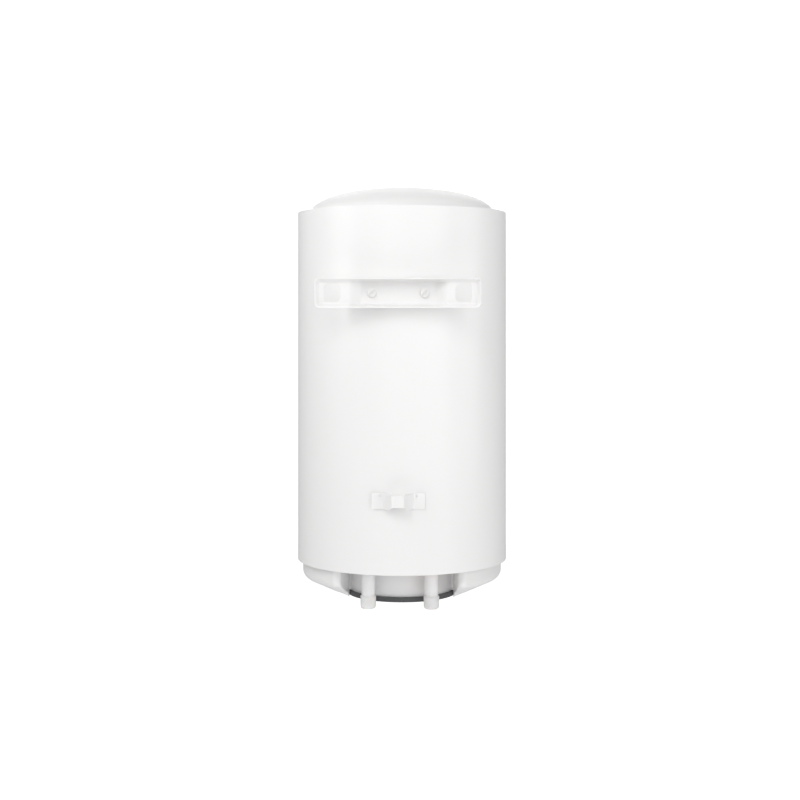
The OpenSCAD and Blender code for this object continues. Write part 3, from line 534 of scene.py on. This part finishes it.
def top_cover():
    """Domed lid that rises out of a groove inside the casing's top edge."""
    groove, skirt = TOP - 5, TOP - 11
    base, power, wall = 152.6, 2.2, 2.5
    height = APEX - groove

    def dome(shrink):
        turn = np.radians(np.concatenate([[6], np.linspace(10, 90, 56)]))
        r = (base - shrink) * np.cos(turn) ** (2 / power)
        z = groove + (height - shrink) * np.sin(turn) ** (2 / power)
        return [(a, b) for a, b in zip(np.maximum(r, 0), z)]

    outline = rounded([
        (INSET_R, skirt, 0.4), (INSET_R, groove, 0.5), (base, groove, 2.2),
        *dome(0), *dome(wall)[::-1], (base - wall, groove - wall, 1.0),
        (INSET_R - wall, groove - wall, 0.5), (INSET_R - wall, skirt, 0.4),
    ])
    return fit(solid("top_cover_shell", lathe(outline, AXIS, 256)), "cover_plastic", "top_cover")


# Radii of the compartment's wall, the service cover, its seat in the cone and the bottom cover
WELL_R = 87.0
SERVICE_R = 90.0
SEAT_R = SERVICE_R + 1
COVER_R = 163.6

# Plan of one flank of the notch, from the compartment's wall outwards
NOTCH_X = 85.0
NOTCH_IN = np.array([NOTCH_X, math.sqrt(WELL_R ** 2 - NOTCH_X ** 2)])
NOTCH_OUT = np.array([93.0, 135.0])

# Heights of the notch's ceiling, the bottom cover's deck and the cone's lower end
CEILING = BOTTOM - 1
DECK_LOW = BOTTOM + 7.2
DECK_TOP = BOTTOM + 9.7
LIP = BOTTOM - 60

# The service cover's face: radius, height at that radius and height in the middle
FACE_R = SERVICE_R - 2
FACE_RIM = BOTTOM - 57.5
FACE_LOW = BOTTOM - 60.5

# Heights clear below and above the bottom cover, where cutters start and end
BELOW = BOTTOM - 80
ABOVE = BOTTOM + 20


def turn_points(centre, radius, start, end, count):
    angles = np.radians(np.linspace(start, end, count))
    return np.stack([centre[0] + radius * np.cos(angles), centre[1] + radius * np.sin(angles)], axis=1)


def cover_section(radius, z):
    """Plan of the bottom cover at one height: a circle with the pipe notch cut in, its corners rounded."""
    edge = min(8.5, 0.8 + 0.42 * (radius - SEAT_R))
    crease = 3.0
    flank = (NOTCH_OUT - NOTCH_IN) / np.linalg.norm(NOTCH_OUT - NOTCH_IN)
    side = np.array([flank[1], -flank[0]])

    def centre(offset, reach):
        start = NOTCH_IN + offset * side
        run = -start @ flank + math.sqrt((start @ flank) ** 2 - start @ start + reach ** 2)
        return start + run * flank

    def heading(v):
        return math.degrees(math.atan2(v[1], v[0]))

    outer = centre(edge, radius - edge)
    inner = centre(-crease, WELL_R + crease)
    straight = np.linspace(outer - edge * side, inner + crease * side, 12)[1:-1]
    half = np.concatenate([
        turn_points((0, 0), radius, -90, heading(outer), 110)[:-1],
        turn_points(outer, edge, heading(outer), heading(-side), 13),
        straight,
        turn_points(inner, crease, heading(side), heading(inner) - 180, 6),
        turn_points((0, 0), WELL_R, heading(inner), 90, 34)[1:],
    ])
    ring = np.concatenate([half, half[-2:0:-1] * [-1, 1]])
    return np.column_stack([ring, np.full(len(ring), z)]) + AXIS


def bottom_cover():
    """Shallow cone round the service compartment, with a deep notch at the back for the pipes."""
    slope = math.tan(math.radians(25.1))
    knee = LIP + (COVER_R - SEAT_R) * slope
    skin = rounded([
        (COVER_R, BOTTOM + 1), (COVER_R, knee, 14.5), (SEAT_R + 1.6, LIP + 1.6 * slope, 1.5),
        (SEAT_R + 0.4, LIP),
    ], 14, closed=False)
    rings = [cover_section(r, z) for r, z in spaced(skin, 3.0)]
    made = solid("bottom_cover_shell", loft(rings))
    deck_r = COVER_R - 0.2
    deck = [
        (0, CEILING), (deck_r, CEILING), (deck_r, DECK_LOW), (INSET_R, DECK_LOW), (INSET_R, DECK_TOP),
        (0, DECK_TOP),
    ]
    carve(made, lathe(deck, AXIS, 256), mode="UNION")
    seat_top, spigot_low = BOTTOM - 48, BOTTOM - 54
    spigot_r, bore_r = WELL_R - 0.4, WELL_R - 2.5
    core = [
        (0, BELOW), (SEAT_R, BELOW), (SEAT_R, seat_top), (spigot_r, seat_top), (spigot_r, spigot_low),
        (bore_r, spigot_low), (bore_r, ABOVE), (0, ABOVE),
    ]
    carve(made, lathe(core, AXIS, 264))
    pipe = middle("cold_rosette")
    holes = [disc(10.95, CEILING - 5, ABOVE, (x, pipe[1], 0)) for x in (-pipe[0], pipe[0])]
    carve(made, *holes, disc(6.2, CEILING - 5, ABOVE, middle("cable_gland") * [1, 1, 0]))
    return fit(made, "cover_plastic", "bottom_cover", crease=32)


def face_z(radius):
    """Height of the service cover's domed face."""
    return FACE_LOW + (FACE_RIM - FACE_LOW) * (radius / FACE_R) ** 2


def service_cover():
    """Dark disc under the compartment, slightly domed, with places for the knob, lens and two screws."""
    top, inner = BOTTOM - 49, BOTTOM - 54.3
    wall_r = SERVICE_R - 2.4
    face = [(r, face_z(r)) for r in np.linspace(FACE_R - 1, 0, 24)]
    outline = rounded([
        (0, inner), (wall_r, inner, 1.0), (wall_r, top, 0.3), (SERVICE_R, top, 0.6),
        (SERVICE_R, FACE_RIM, 2.0), (FACE_R, FACE_RIM), *face,
    ])
    made = solid("service_cover_disc", lathe(outline, AXIS, 256))
    sink, screw_x = BOTTOM - 56.5, 80
    screws = [disc(3.9, BELOW, sink, AXIS + [x, 0, 0], 48) for x in (-screw_x, screw_x)]
    lens = disc(4.1, BELOW, BOTTOM, middle("indicator_lens") * [1, 1, 0], 48)
    shaft = disc(3.3, BELOW, BOTTOM, AXIS, 48)
    carve(made, *screws, lens, shaft)
    soften(made, 0.35, 60, 2)
    return fit(made, "dark_plastic", "service_cover")


def scale_marks():
    """Printed scale round the knob, over its whole turn: dots that grow, and a wedge outside them."""
    shapes = []
    dots_r, wedge_r, start, turn = 26.5, 29.5, 135, 270
    proud, sunk = 0.12, 0.3
    for i in range(11):
        angle = math.radians(start + turn * i / 10)
        size = 0.55 + 0.07 * i
        at = AXIS + [dots_r * math.cos(angle), dots_r * math.sin(angle), face_z(dots_r)]
        dot = rounded([(0, -proud), (size, -proud, 0.05), (size, sunk), (0, sunk)], 3)
        shapes.append(lathe(dot, at, 32))
    sweep = np.radians(np.linspace(start, start + turn, 91))
    swell = np.linspace(0.15, 1.6, 91)
    outer = np.stack([(wedge_r + swell) * np.cos(sweep), (wedge_r + swell) * np.sin(sweep)], 1)
    inner = np.stack([wedge_r * np.cos(sweep), wedge_r * np.sin(sweep)], 1)
    wedge = np.concatenate([outer, inner[::-1]])
    shapes.append(prism(wedge, face_z(wedge_r) - proud, face_z(wedge_r) + sunk, AXIS))
    return fit(solid("knob_scale", *shapes), "dial_white", body="heater")


def cover_screws():
    """Cross-slotted screws of the service cover."""
    lo, hi = box("service_cover_screws")
    head_r, head_h, shank_r, length = 3.5, 1.9, 1.5, 18
    for side, name in ((1, "a"), (-1, "b")):
        at = AXIS + [side * (hi[0] - head_r), 0, lo[2]]
        head = rounded([
            (0, 0), (1.6, 0), (head_r, 0.7, 0.5), (head_r, head_h, 0.2), (shank_r, head_h),
            (shank_r, length), (0, length),
        ], 5)
        made = solid("service_screw_" + name, lathe(head, at, 64))
        cross = [turned(prism(block(5, 1), -1, 0.9, at), a + 20 * side, at) for a in (0, 90)]
        carve(made, cross[0])
        carve(made, cross[1])
        soften(made, 0.12, 50, 2)
        nodes = ["service_cover_screws"] if side > 0 else []
        fit(made, "zinc_steel", *nodes, body="heater")


def control_knob():
    """Fluted knob with a raised pointer."""
    lo, hi = box("control_knob")
    radius, top, low = 22.0, hi[2], lo[2]
    face = low + 0.6
    flutes, flute_depth, pointer_turn = 18, 0.95, 45

    def fluted(r, h, angle):
        wave = ((1 + np.cos(flutes * (angle - math.radians(10)))) / 2) ** 2
        fade = np.clip((top - 1.2 - h) / 1.5, 0, 1) * np.clip((r - radius + 4) / 2, 0, 1)
        return r - flute_depth * wave * fade

    outline = rounded([
        (0, top), (radius, top, 0.4), (radius, top - 1.2), (radius, face + 3), (radius - 0.2, face, 2.2),
        (14, face + 0.25), (6, face + 0.35), (0, face + 0.35),
    ], 8)
    made = solid("knob_grip", lathe(spaced(outline, 1.2), AXIS, 288, form=fluted))
    bar = turned(prism(block(2.4, 14.5, 1.1), low, face + 2, (0, 13, 0), edge=0.35), pointer_turn)
    carve(made, (bar[0] + AXIS, bar[1]), mode="UNION")
    carve(made, disc(3.02, face + 1.4, top + 1, AXIS, 48))
    fit(made, "dark_plastic", "control_knob")
    line = turned(prism(block(0.9, 11, 0.4), low - 0.02, low + 0.3, (0, 13.5, 0)), pointer_turn)
    fit(solid("knob_pointer_line", (line[0] + AXIS, line[1])), "dial_white", body="knob")


def indicator_lens():
    """Small dome over the pilot lamp."""
    lo, hi = box("indicator_lens")
    at = middle("indicator_lens") * [1, 1, 0]
    radius, rise = 4.0, 1.6
    turn = np.radians(np.linspace(0, 90, 16))
    dome = [(radius * math.cos(t), lo[2] + rise * (1 - math.sin(t))) for t in turn]
    outline = [(0, hi[2]), (radius - 0.4, hi[2]), (radius, hi[2] - 0.4), *dome]
    fit(solid("indicator_lens_cap", lathe(outline, at, 64)), "lens_amber", "indicator_lens")


# ---- pipes ----


def pipes():
    """Two half-inch pipe ends with a rolled thread, each with a coloured ring against the ceiling."""
    radius, bore, pitch = 10.65, 8.0, 1.814
    end = BOTTOM - 60
    top = BOTTOM + 60

    def thread(r, h, angle):
        depth = 1.05 * np.clip((h - end - 0.3) / 1.5, 0, 1) * np.clip((end + 15.2 - h) / 1.2, 0, 1)
        crest = np.abs(((h / pitch + angle / (2 * math.pi)) % 1) * 2 - 1)
        crest = np.clip((crest - 0.12) / 0.76, 0, 1)
        return np.where(r > bore + 0.5, r - depth * (1 - crest), r)

    rows = [(radius - 0.2, z) for z in np.arange(end + 1, end + 15.4, pitch / 9)]
    outline = [
        (bore, top), (bore, end + 0.4), (bore + 0.4, end), (radius - 1.2, end), *rows,
        (radius, end + 15.8), (radius, end + 30), (radius, CEILING), (radius, top),
    ]
    for node, ring, cap, name in (("cold_inlet_pipe", "cold_rosette", "cold_thread_cap", "cold"),
                                  ("hot_outlet_pipe", "hot_rosette", "hot_thread_cap", "hot")):
        at = middle(ring) * [1, 1, 0]
        made = solid(name + "_pipe_end", lathe(outline, at, 96, form=thread))
        fit(made, "white_enamel", node, crease=50)
        plate = rounded([
            (radius + 0.3, CEILING - 0.1), (radius + 0.3, CEILING - 3, 0.5), (15.4, CEILING - 3, 1.0),
            (17, CEILING - 1.4, 0.5), (17, CEILING - 0.1),
        ])
        fit(solid(name + "_ring", lathe(plate, at, 96)), SLOT_OF[ring], ring)
        thread_cap(cap, name, at)


def thread_cap(node, name, at):
    """Push-on cap with a chamfered foot and a closed end."""
    lo, hi = box(node)
    low, high = lo[2], hi[2]
    outer = (hi[0] - lo[0]) / 2
    outline = rounded([
        (0, low), (outer - 2.6, low, 0.5), (outer - 0.7, low + 1.9, 1.2), (outer - 0.15, low + 4.6, 1.5),
        (outer, high - 0.4), (outer, high, 0.5), (outer - 1.4, high, 0.3), (outer - 1.45, low + 2.7, 0.4),
        (0, low + 2.7),
    ], 7)
    made = solid(name + "_cap_shell", lathe(outline, at, 128))
    fit(made, "cap_plastic", node)


def cable_gland():
    """Bush with a flange against the notch's ceiling."""
    lo, hi = box("cable_gland")
    at = middle("cable_gland") * [1, 1, 0]
    low, high = lo[2], hi[2]
    outline = rounded([
        (4, high), (4, low, 0.8), (8.2, low, 0.9), (9, low + 1.2, 0.5), (9, CEILING, 0.1), (6, CEILING),
        (6, high, 0.3),
    ])
    made = solid("cable_bush", lathe(outline, at, 96))
    fit(made, "grey_nylon", "cable_gland")


# ---- wall brackets ----


def hook_bracket():
    """Pan pressed from sheet: shallow ends with the hook holes and a deep middle that is screwed on."""
    lo, hi = box("hook_bracket")
    half_w, half_h, sheet, corner = (hi[0] - lo[0]) / 2, (hi[2] - lo[2]) / 2, 2.0, 8.0
    deep, shallow, mid, foot = -lo[1], 10.0, 58.0, 75.0
    floor = [(0, deep), (mid, deep, 9), (foot, shallow, 9), (half_w + 1, shallow)]
    floor = rounded(floor, 10, closed=False)

    def depth(x, inset):
        return np.interp(np.abs(x), floor[:, 0], floor[:, 1]) - inset

    xs = np.concatenate([
        np.linspace(-half_w + corner, -foot - 4, 12)[:-1],
        np.linspace(-foot - 4, -mid + 4, 25),
        np.linspace(-mid + 4, 0, 14)[1:],
    ])
    xs = np.concatenate([xs, -xs[-2::-1]])
    zs = np.linspace(-half_h + corner, half_h - corner, 9)

    def ring(inset, rise, skin):
        """Loop round the pan, inset from its outline, at y = rise or, with a skin, rise above the floor."""
        radius = corner - inset
        arc = np.radians(np.linspace(0, 90, 9))
        loops = []
        for k, (sx, sz) in enumerate(((1, -1), (1, 1), (-1, 1), (-1, -1))):
            turn = arc + math.radians(-90 + 90 * k)
            loops.append(np.stack([sx * (half_w - corner) + radius * np.cos(turn),
                                   sz * (half_h - corner) + radius * np.sin(turn)], 1))
            if k % 2:
                straight = [(x, sz * (half_h - inset)) for x in (xs[1:-1] if sz < 0 else xs[-2:0:-1])]
            else:
                straight = [(sx * (half_w - inset), z) for z in (zs[1:-1] if sx > 0 else zs[-2:0:-1])]
            loops.append(np.array(straight))
        flat = np.concatenate(loops)
        y = np.full(len(flat), rise) if skin is None else rise - depth(flat[:, 0], skin)
        return np.stack([flat[:, 0], y, flat[:, 1]], 1)

    # The walls lean out: they rise from a bend at the floor's edge to a rounded rim at the wall plane
    bend, rim = np.radians(np.linspace(0, 65, 7)), np.radians(np.linspace(0, 90, 5))
    outer, inner, lip = 5.0, 3.0, 0.8
    rings = [ring(corner - outer * math.sin(t), outer * (1 - math.cos(t)), 0) for t in bend]
    rings += [ring(lip - lip * math.cos(t), -lip + lip * math.sin(t), None) for t in rim]
    rings += [ring(sheet - lip + lip * math.sin(t), -lip + lip * math.cos(t), None) for t in rim]
    rings += [ring(corner - inner * math.sin(t), inner * (1 - math.cos(t)), sheet) for t in bend[::-1]]
    count = len(rings[0])
    shapes = [(np.concatenate(rings), grid_faces(len(rings), count, loop_columns=True))]
    for skin in (0, sheet):
        gx, gz = np.meshgrid(xs, zs)
        middle_sheet = np.stack([gx, -depth(gx, skin), gz], -1).reshape(-1, 3)
        shapes.append((middle_sheet, grid_faces(len(zs), len(xs))))
    made = solid("hook_bracket_pan", *shapes)
    hole_x, hole_half_w, hole_half_h = 100, 12.5, 13.75
    near_r, far_r = 8, 4.5
    holes = []
    for side in (-1, 1):
        near, far, z = side * (hole_x - hole_half_w), side * (hole_x + hole_half_w), hole_half_h
        hole = rounded([(near, -z, near_r), (far, -z, far_r), (far, z, far_r), (near, z, near_r)], 8)
        holes.append(prism(hole, -40, 20, along="y"))
    carve(made, *holes)
    carve(made, *[disc(4.3, -40, -10, (x, 0, 0), 48, "y") for x in (-SCREW_X, SCREW_X)])
    soften(made, 0.45, 60)
    return fit(made, "white_enamel", "hook_bracket")


def bracket_screws():
    """Slotted pan heads that hold the pan to the tank's bosses."""
    _, hi = box("bracket_screws")
    radius, height, shank_r, length, slot_w = 7.25, 4.5, 4, 18, 1.7
    seat = hi[1] - height
    for side, name in ((1, "left"), (-1, "right")):
        at = (side * (hi[0] - radius), seat, 0)
        head = rounded([
            (0, -length), (shank_r, -length, 0.8), (shank_r, 0), (radius, 0, 0.3),
            (radius, height - 0.6, 1.6), (shank_r, height, 3.0), (0, height),
        ], 8)
        made = solid("bracket_screw_" + name, lathe(head, at, 96, "y"))
        slot = prism(block(slot_w, 30), height - slot_w, height + 2, at, along="y")
        carve(made, turned(slot, 45, at, "y"))
        soften(made, 0.16, 50, 2)
        nodes = ["bracket_screws"] if side > 0 else []
        fit(made, "bracket_screw_steel", *nodes, body="heater")


def spacer():
    """Hat-shaped strip: two flat feet, two slopes and a notched face that rests on the wall."""
    lo, hi = box("spacer_bracket")
    z_mid = (lo[2] + hi[2]) / 2
    half_h, sheet, face, foot, end = (hi[2] - lo[2]) / 2, 1.5, 9.75, 24.0, hi[0]
    low = lo[1] + sheet
    hole_x, notch_up, notch_down = 28.5, 2, 5
    line = rounded([
        (-end, low), (-foot, low, 3), (-face, 0, 2.5), (face, 0, 2.5), (foot, low, 3), (end, low),
    ], 7, closed=False)
    line = spaced(line, 1.0)
    heading = np.gradient(line, axis=0)
    heading /= np.linalg.norm(heading, axis=1)[:, None]
    inward = np.stack([heading[:, 1], -heading[:, 0]], 1)
    rings = []
    for (x, y), n in zip(line, inward):
        up = min(half_h, half_h - notch_up + max(0, abs(x) - face))
        down = min(half_h, half_h - notch_down + max(0, abs(x) - face))
        cut = rounded([(0, -down, 0.35), (sheet, -down, 0.35), (sheet, up, 0.35), (0, up, 0.35)], 3)
        rings.append(np.stack([x + n[0] * cut[:, 0], y + n[1] * cut[:, 0], z_mid + cut[:, 1]], 1))
    made = solid("spacer_strip", loft(rings))
    hole_z = z_mid + half_h - 5
    carve(made, *[disc(1.2, -45, -10, (x, 0, hole_z), 24, "y") for x in (-hole_x, hole_x)])
    return fit(made, "white_enamel", "spacer_bracket")


# ---- thermometer ----


FULL_SCALE = 80


def dial_angle(value):
    """Place of a reading on the dial, in degrees from +X towards +Z, seen from the front."""
    return 90 + 120 - 240 * value / FULL_SCALE


def thermometer():
    """Round gauge let into the front of the casing: bezel, cup, dial, needle and window."""
    back = FRONT + 15
    at = np.array([0, 0, GAUGE_Z])
    pane_front, pane_back, ledge = FRONT - 3.4, FRONT - 2.1, FRONT - 2
    bezel_end = FRONT + 4
    ring = rounded([
        (21, pane_front, 0.2), (21, FRONT - 4.2, 0.5), (23, FRONT - 5, 1.2), (26, FRONT - 4.6, 1.8),
        (28, FRONT - 2.2, 1.6), (28, bezel_end), (GAUGE_HOLE_R, bezel_end), (GAUGE_HOLE_R, ledge),
        (GAUGE_HOLE_R - 1, ledge), (GAUGE_HOLE_R - 1, pane_front),
    ], 8)
    bezel = solid("gauge_bezel", lathe(ring, at, 160, "y"))
    carve(bezel, disc(CASING_R + 0.1, GAUGE_Z - 50, GAUGE_Z + 50, AXIS, 1440))
    fit(bezel, "bezel_chrome", "thermometer_bezel")
    cup_r, cup_wall, cup_front = 23.5, 1.5, FRONT - 1.5
    cup = rounded([
        (0, back - cup_wall), (cup_r - cup_wall, back - cup_wall, 1.0), (cup_r - cup_wall, cup_front, 0.3),
        (cup_r, cup_front, 0.3), (cup_r, back, 1.2), (0, back),
    ])
    dial_back, dial_face, dial_r = back - 9, back - 9.8, 21.8
    post = rounded([(0, dial_back), (5, dial_back, 0.4), (5, back - 1), (0, back - 1)])
    housing = solid("gauge_cup", lathe(cup, at, 128, "y"))
    carve(housing, lathe(post, at, 64, "y"), mode="UNION")
    fit(housing, "dark_plastic", "thermometer_housing")
    plate = rounded([
        (1.1, dial_back), (1.1, dial_face, 0.1), (dial_r, dial_face, 0.25), (dial_r, dial_back, 0.1),
    ])
    fit(solid("gauge_dial", lathe(plate, at, 128, "y")), "dial_white", "thermometer_dial")
    dial_print(at, dial_face)
    needle(at, back)
    pane = rounded([(0, pane_front), (22.5, pane_front, 0.3), (22.5, pane_back, 0.3), (0, pane_back)])
    fit(solid("gauge_window", lathe(pane, at, 128, "y")), "gauge_glass", "thermometer_glass")


def dial_print(at, face):
    """Ticks, a cold and a hot arc, and plain numbers, printed on the dial."""
    ink = []
    for value in range(0, FULL_SCALE + 1, 5):
        width, length, middle_r = (0.55, 3.0, 18.4) if value % 10 == 0 else (0.3, 1.8, 19.0)
        bar = prism(block(width, length), face - 0.06, face + 0.2, (0, 0, middle_r), along="y")
        ink.append(turned(bar, dial_angle(value) - 90, axis="y"))
    ticks = solid("dial_ticks", *[(p + at, f) for p, f in ink])
    fit(ticks, "dark_plastic", body="heater", look="print_ink")
    arc_outer, arc_inner, numbers_r = 21.0, 20.2, 14.2
    arcs = (("dial_cold_arc", "ring_blue", 0, 30), ("dial_hot_arc", "ring_red", 55, FULL_SCALE))
    for name, slot, low, high in arcs:
        start, end = dial_angle(low), dial_angle(high)
        outer = turn_points((0, 0), arc_outer, start, end, 40)
        inner = turn_points((0, 0), arc_inner, end, start, 40)
        arc = prism(np.concatenate([outer, inner]), face - 0.07, face + 0.2, along="y")
        fit(solid(name, (arc[0] + at, arc[1])), slot, body="heater")
    for value in range(0, FULL_SCALE + 1, 20):
        angle = math.radians(dial_angle(value))
        text = bpy.data.curves.new("number", "FONT")
        text.body = str(value)
        text.size = 3.6 * MM
        text.align_x, text.align_y = "CENTER", "CENTER"
        text.extrude = 0.05 * MM
        text.resolution_u = 6
        obj = bpy.data.objects.new(f"dial_number_{value}", text)
        bpy.context.scene.collection.objects.link(obj)
        place = at + [numbers_r * math.cos(angle), face - 0.05, numbers_r * math.sin(angle)]
        obj.location = Vector(place) * MM
        obj.rotation_euler = (math.pi / 2, 0, 0)
        bpy.context.view_layer.update()
        graph = bpy.context.evaluated_depsgraph_get()
        mesh = bpy.data.meshes.new_from_object(obj.evaluated_get(graph), depsgraph=graph)
        mesh.transform(obj.matrix_world)
        bpy.data.objects.remove(obj)
        number = bpy.data.objects.new(f"dial_number_{value}", mesh)
        bpy.context.scene.collection.objects.link(number)
        fit(number, "dark_plastic", body="heater", look="print_ink")


def needle(at, back):
    """Tapered pointer with a hub and a round counterweight, at the low end of the scale."""
    blade = rounded([(-1, 0), (-0.22, 16.6, 0.1), (0.22, 16.6, 0.1), (1, 0), (0.8, -5), (-0.8, -5)])
    front = back - 11.8
    hub_r, hub_front, hub_back = 2.2, back - 13, back - 11.4
    weight_r, weight_front = 1.9, back - 12.6
    hub = rounded([(0, hub_front), (hub_r, hub_front, 0.6), (hub_r, hub_back, 0.2), (0, hub_back)])
    weight = rounded([(0, weight_front), (weight_r, weight_front, 0.2), (weight_r, front, 0.2), (0, front)])
    shapes = [
        prism(blade, front, front + 0.8, along="y", edge=0.1),
        lathe(hub, (0, 0, 0), 48, "y"),
        lathe(weight, (0, 0, -6), 40, "y"),
    ]
    made = [turned(shape, dial_angle(0) - 90, axis="y") for shape in shapes]
    pointer = solid("gauge_needle", *[(p + at, f) for p, f in made])
    fit(pointer, "needle_red", "thermometer_needle")


# ---- the frame's own nodes ----


def dress_frame():
    """The CAD nodes that stay visible take the same finishes."""
    for name, obj in frame["nodes"].items():
        obj.data.materials.clear()
        obj.data.materials.append(finish(SLOT_OF[name]))


# ---- studio ----

# Height that the lights aim at, in metres
HEATER_MIDDLE = -0.15


def area_light(name, side, height, away, size, power):
    """Soft box aimed at the heater from a bearing: degrees from +Y towards +X, and degrees up.

    away and size are in metres, and power in watts.
    """
    side, height = math.radians(side), math.radians(height)
    level = math.cos(height)
    at = np.array([math.sin(side) * level, math.cos(side) * level, math.sin(height)]) * away
    lamp = bpy.data.lights.new(name, "AREA")
    lamp.shape = "RECTANGLE"
    lamp.size, lamp.size_y = size
    lamp.energy = power
    obj = bpy.data.objects.new(name, lamp)
    obj.location = at + [0, AXIS[1] * MM, HEATER_MIDDLE]
    obj.rotation_euler = Vector(-at).to_track_quat("-Z", "Y").to_euler()
    bpy.context.scene.collection.objects.link(obj)


def studio():
    """White room: a pale floor far below the hanging heater, and soft light from all sides."""
    world = bpy.data.worlds.new("studio")
    bpy.context.scene.world = world
    world.use_nodes = True
    world.node_tree.nodes["Background"].inputs["Color"].default_value = (1, 1, 1, 1)
    world.node_tree.nodes["Background"].inputs["Strength"].default_value = 0.45

    far, floor_top = 9000, -1800
    plan = turn_points((0, 0), far, 0, 360, 97)[:-1]
    floor = solid("studio_floor", prism(plan, floor_top - 20, floor_top))
    arch = [(far * math.cos(t), far * math.sin(t)) for t in np.radians(np.linspace(-90, 90, 49))]
    room = solid("studio_room", lathe(arch, segments=96))
    for obj, glow in ((floor, 0.75), (room, 1.05)):
        made = Recipe(obj.name, Roughness=0.9)
        tone = made.ramp(made.noise(900, 2.0), (0.3, (0.86, 0.86, 0.86)), (0.7, (0.88, 0.88, 0.88)))
        made.set("Base Color", tone)
        made.shader.inputs["Emission Color"].default_value = (1, 1, 1, 1)
        made.shader.inputs["Emission Strength"].default_value = glow
        obj.data.materials.append(made.material)
        obj.visible_diffuse = obj.visible_glossy = obj.visible_transmission = obj.visible_shadow = False

    area_light("behind_camera", 0, 12, 3.2, (2.4, 2.4), 14)
    area_light("key", 18, 36, 2.0, (0.7, 0.7), 7)
    area_light("near_left", 60, 38, 1.3, (0.7, 0.7), 1.5)
    area_light("left", 63, 21, 2.7, (1.4, 1.8), 12)
    area_light("far_left", 110, 30, 2.7, (1.4, 1.6), 3)
    area_light("right", -37, 8, 3.0, (1.6, 1.6), 13)
    area_light("right_low", -48, -8, 2.8, (0.6, 0.9), 1.5)
    area_light("far_right", -75, 10, 2.6, (1.4, 1.8), 10)
    area_light("above", 0, 80, 2.6, (1.8, 1.8), 4)
    area_light("below", 0, -68, 2.6, (2.8, 2.8), 33)
    area_light("front", 180, 30, 2.8, (2.0, 2.0), 17)


def camera():
    """Level view of the back from a little to the heater's right-hand side."""
    turn = math.radians(1.9)
    away = 2.3048
    eye = bpy.data.cameras.new("camera")
    eye.lens = 62.54
    eye.sensor_width = 36
    eye.shift_x = -0.0025
    eye.shift_y = -0.0999
    eye.clip_end = 100
    obj = bpy.data.objects.new("camera", eye)
    obj.location = (-away * math.sin(turn), AXIS[1] * MM + away * math.cos(turn), -0.0413)
    obj.rotation_euler = (math.pi / 2, 0, math.pi + turn)
    bpy.context.scene.collection.objects.link(obj)
    bpy.context.scene.camera = obj
    bpy.context.scene.view_settings.view_transform = "Standard"


camera()
studio()
dress_frame()
casing()
top_cover()
bottom_cover()
service_cover()
scale_marks()
cover_screws()
control_knob()
indicator_lens()
pipes()
cable_gland()
hook_bracket()
bracket_screws()
spacer()
thermometer()
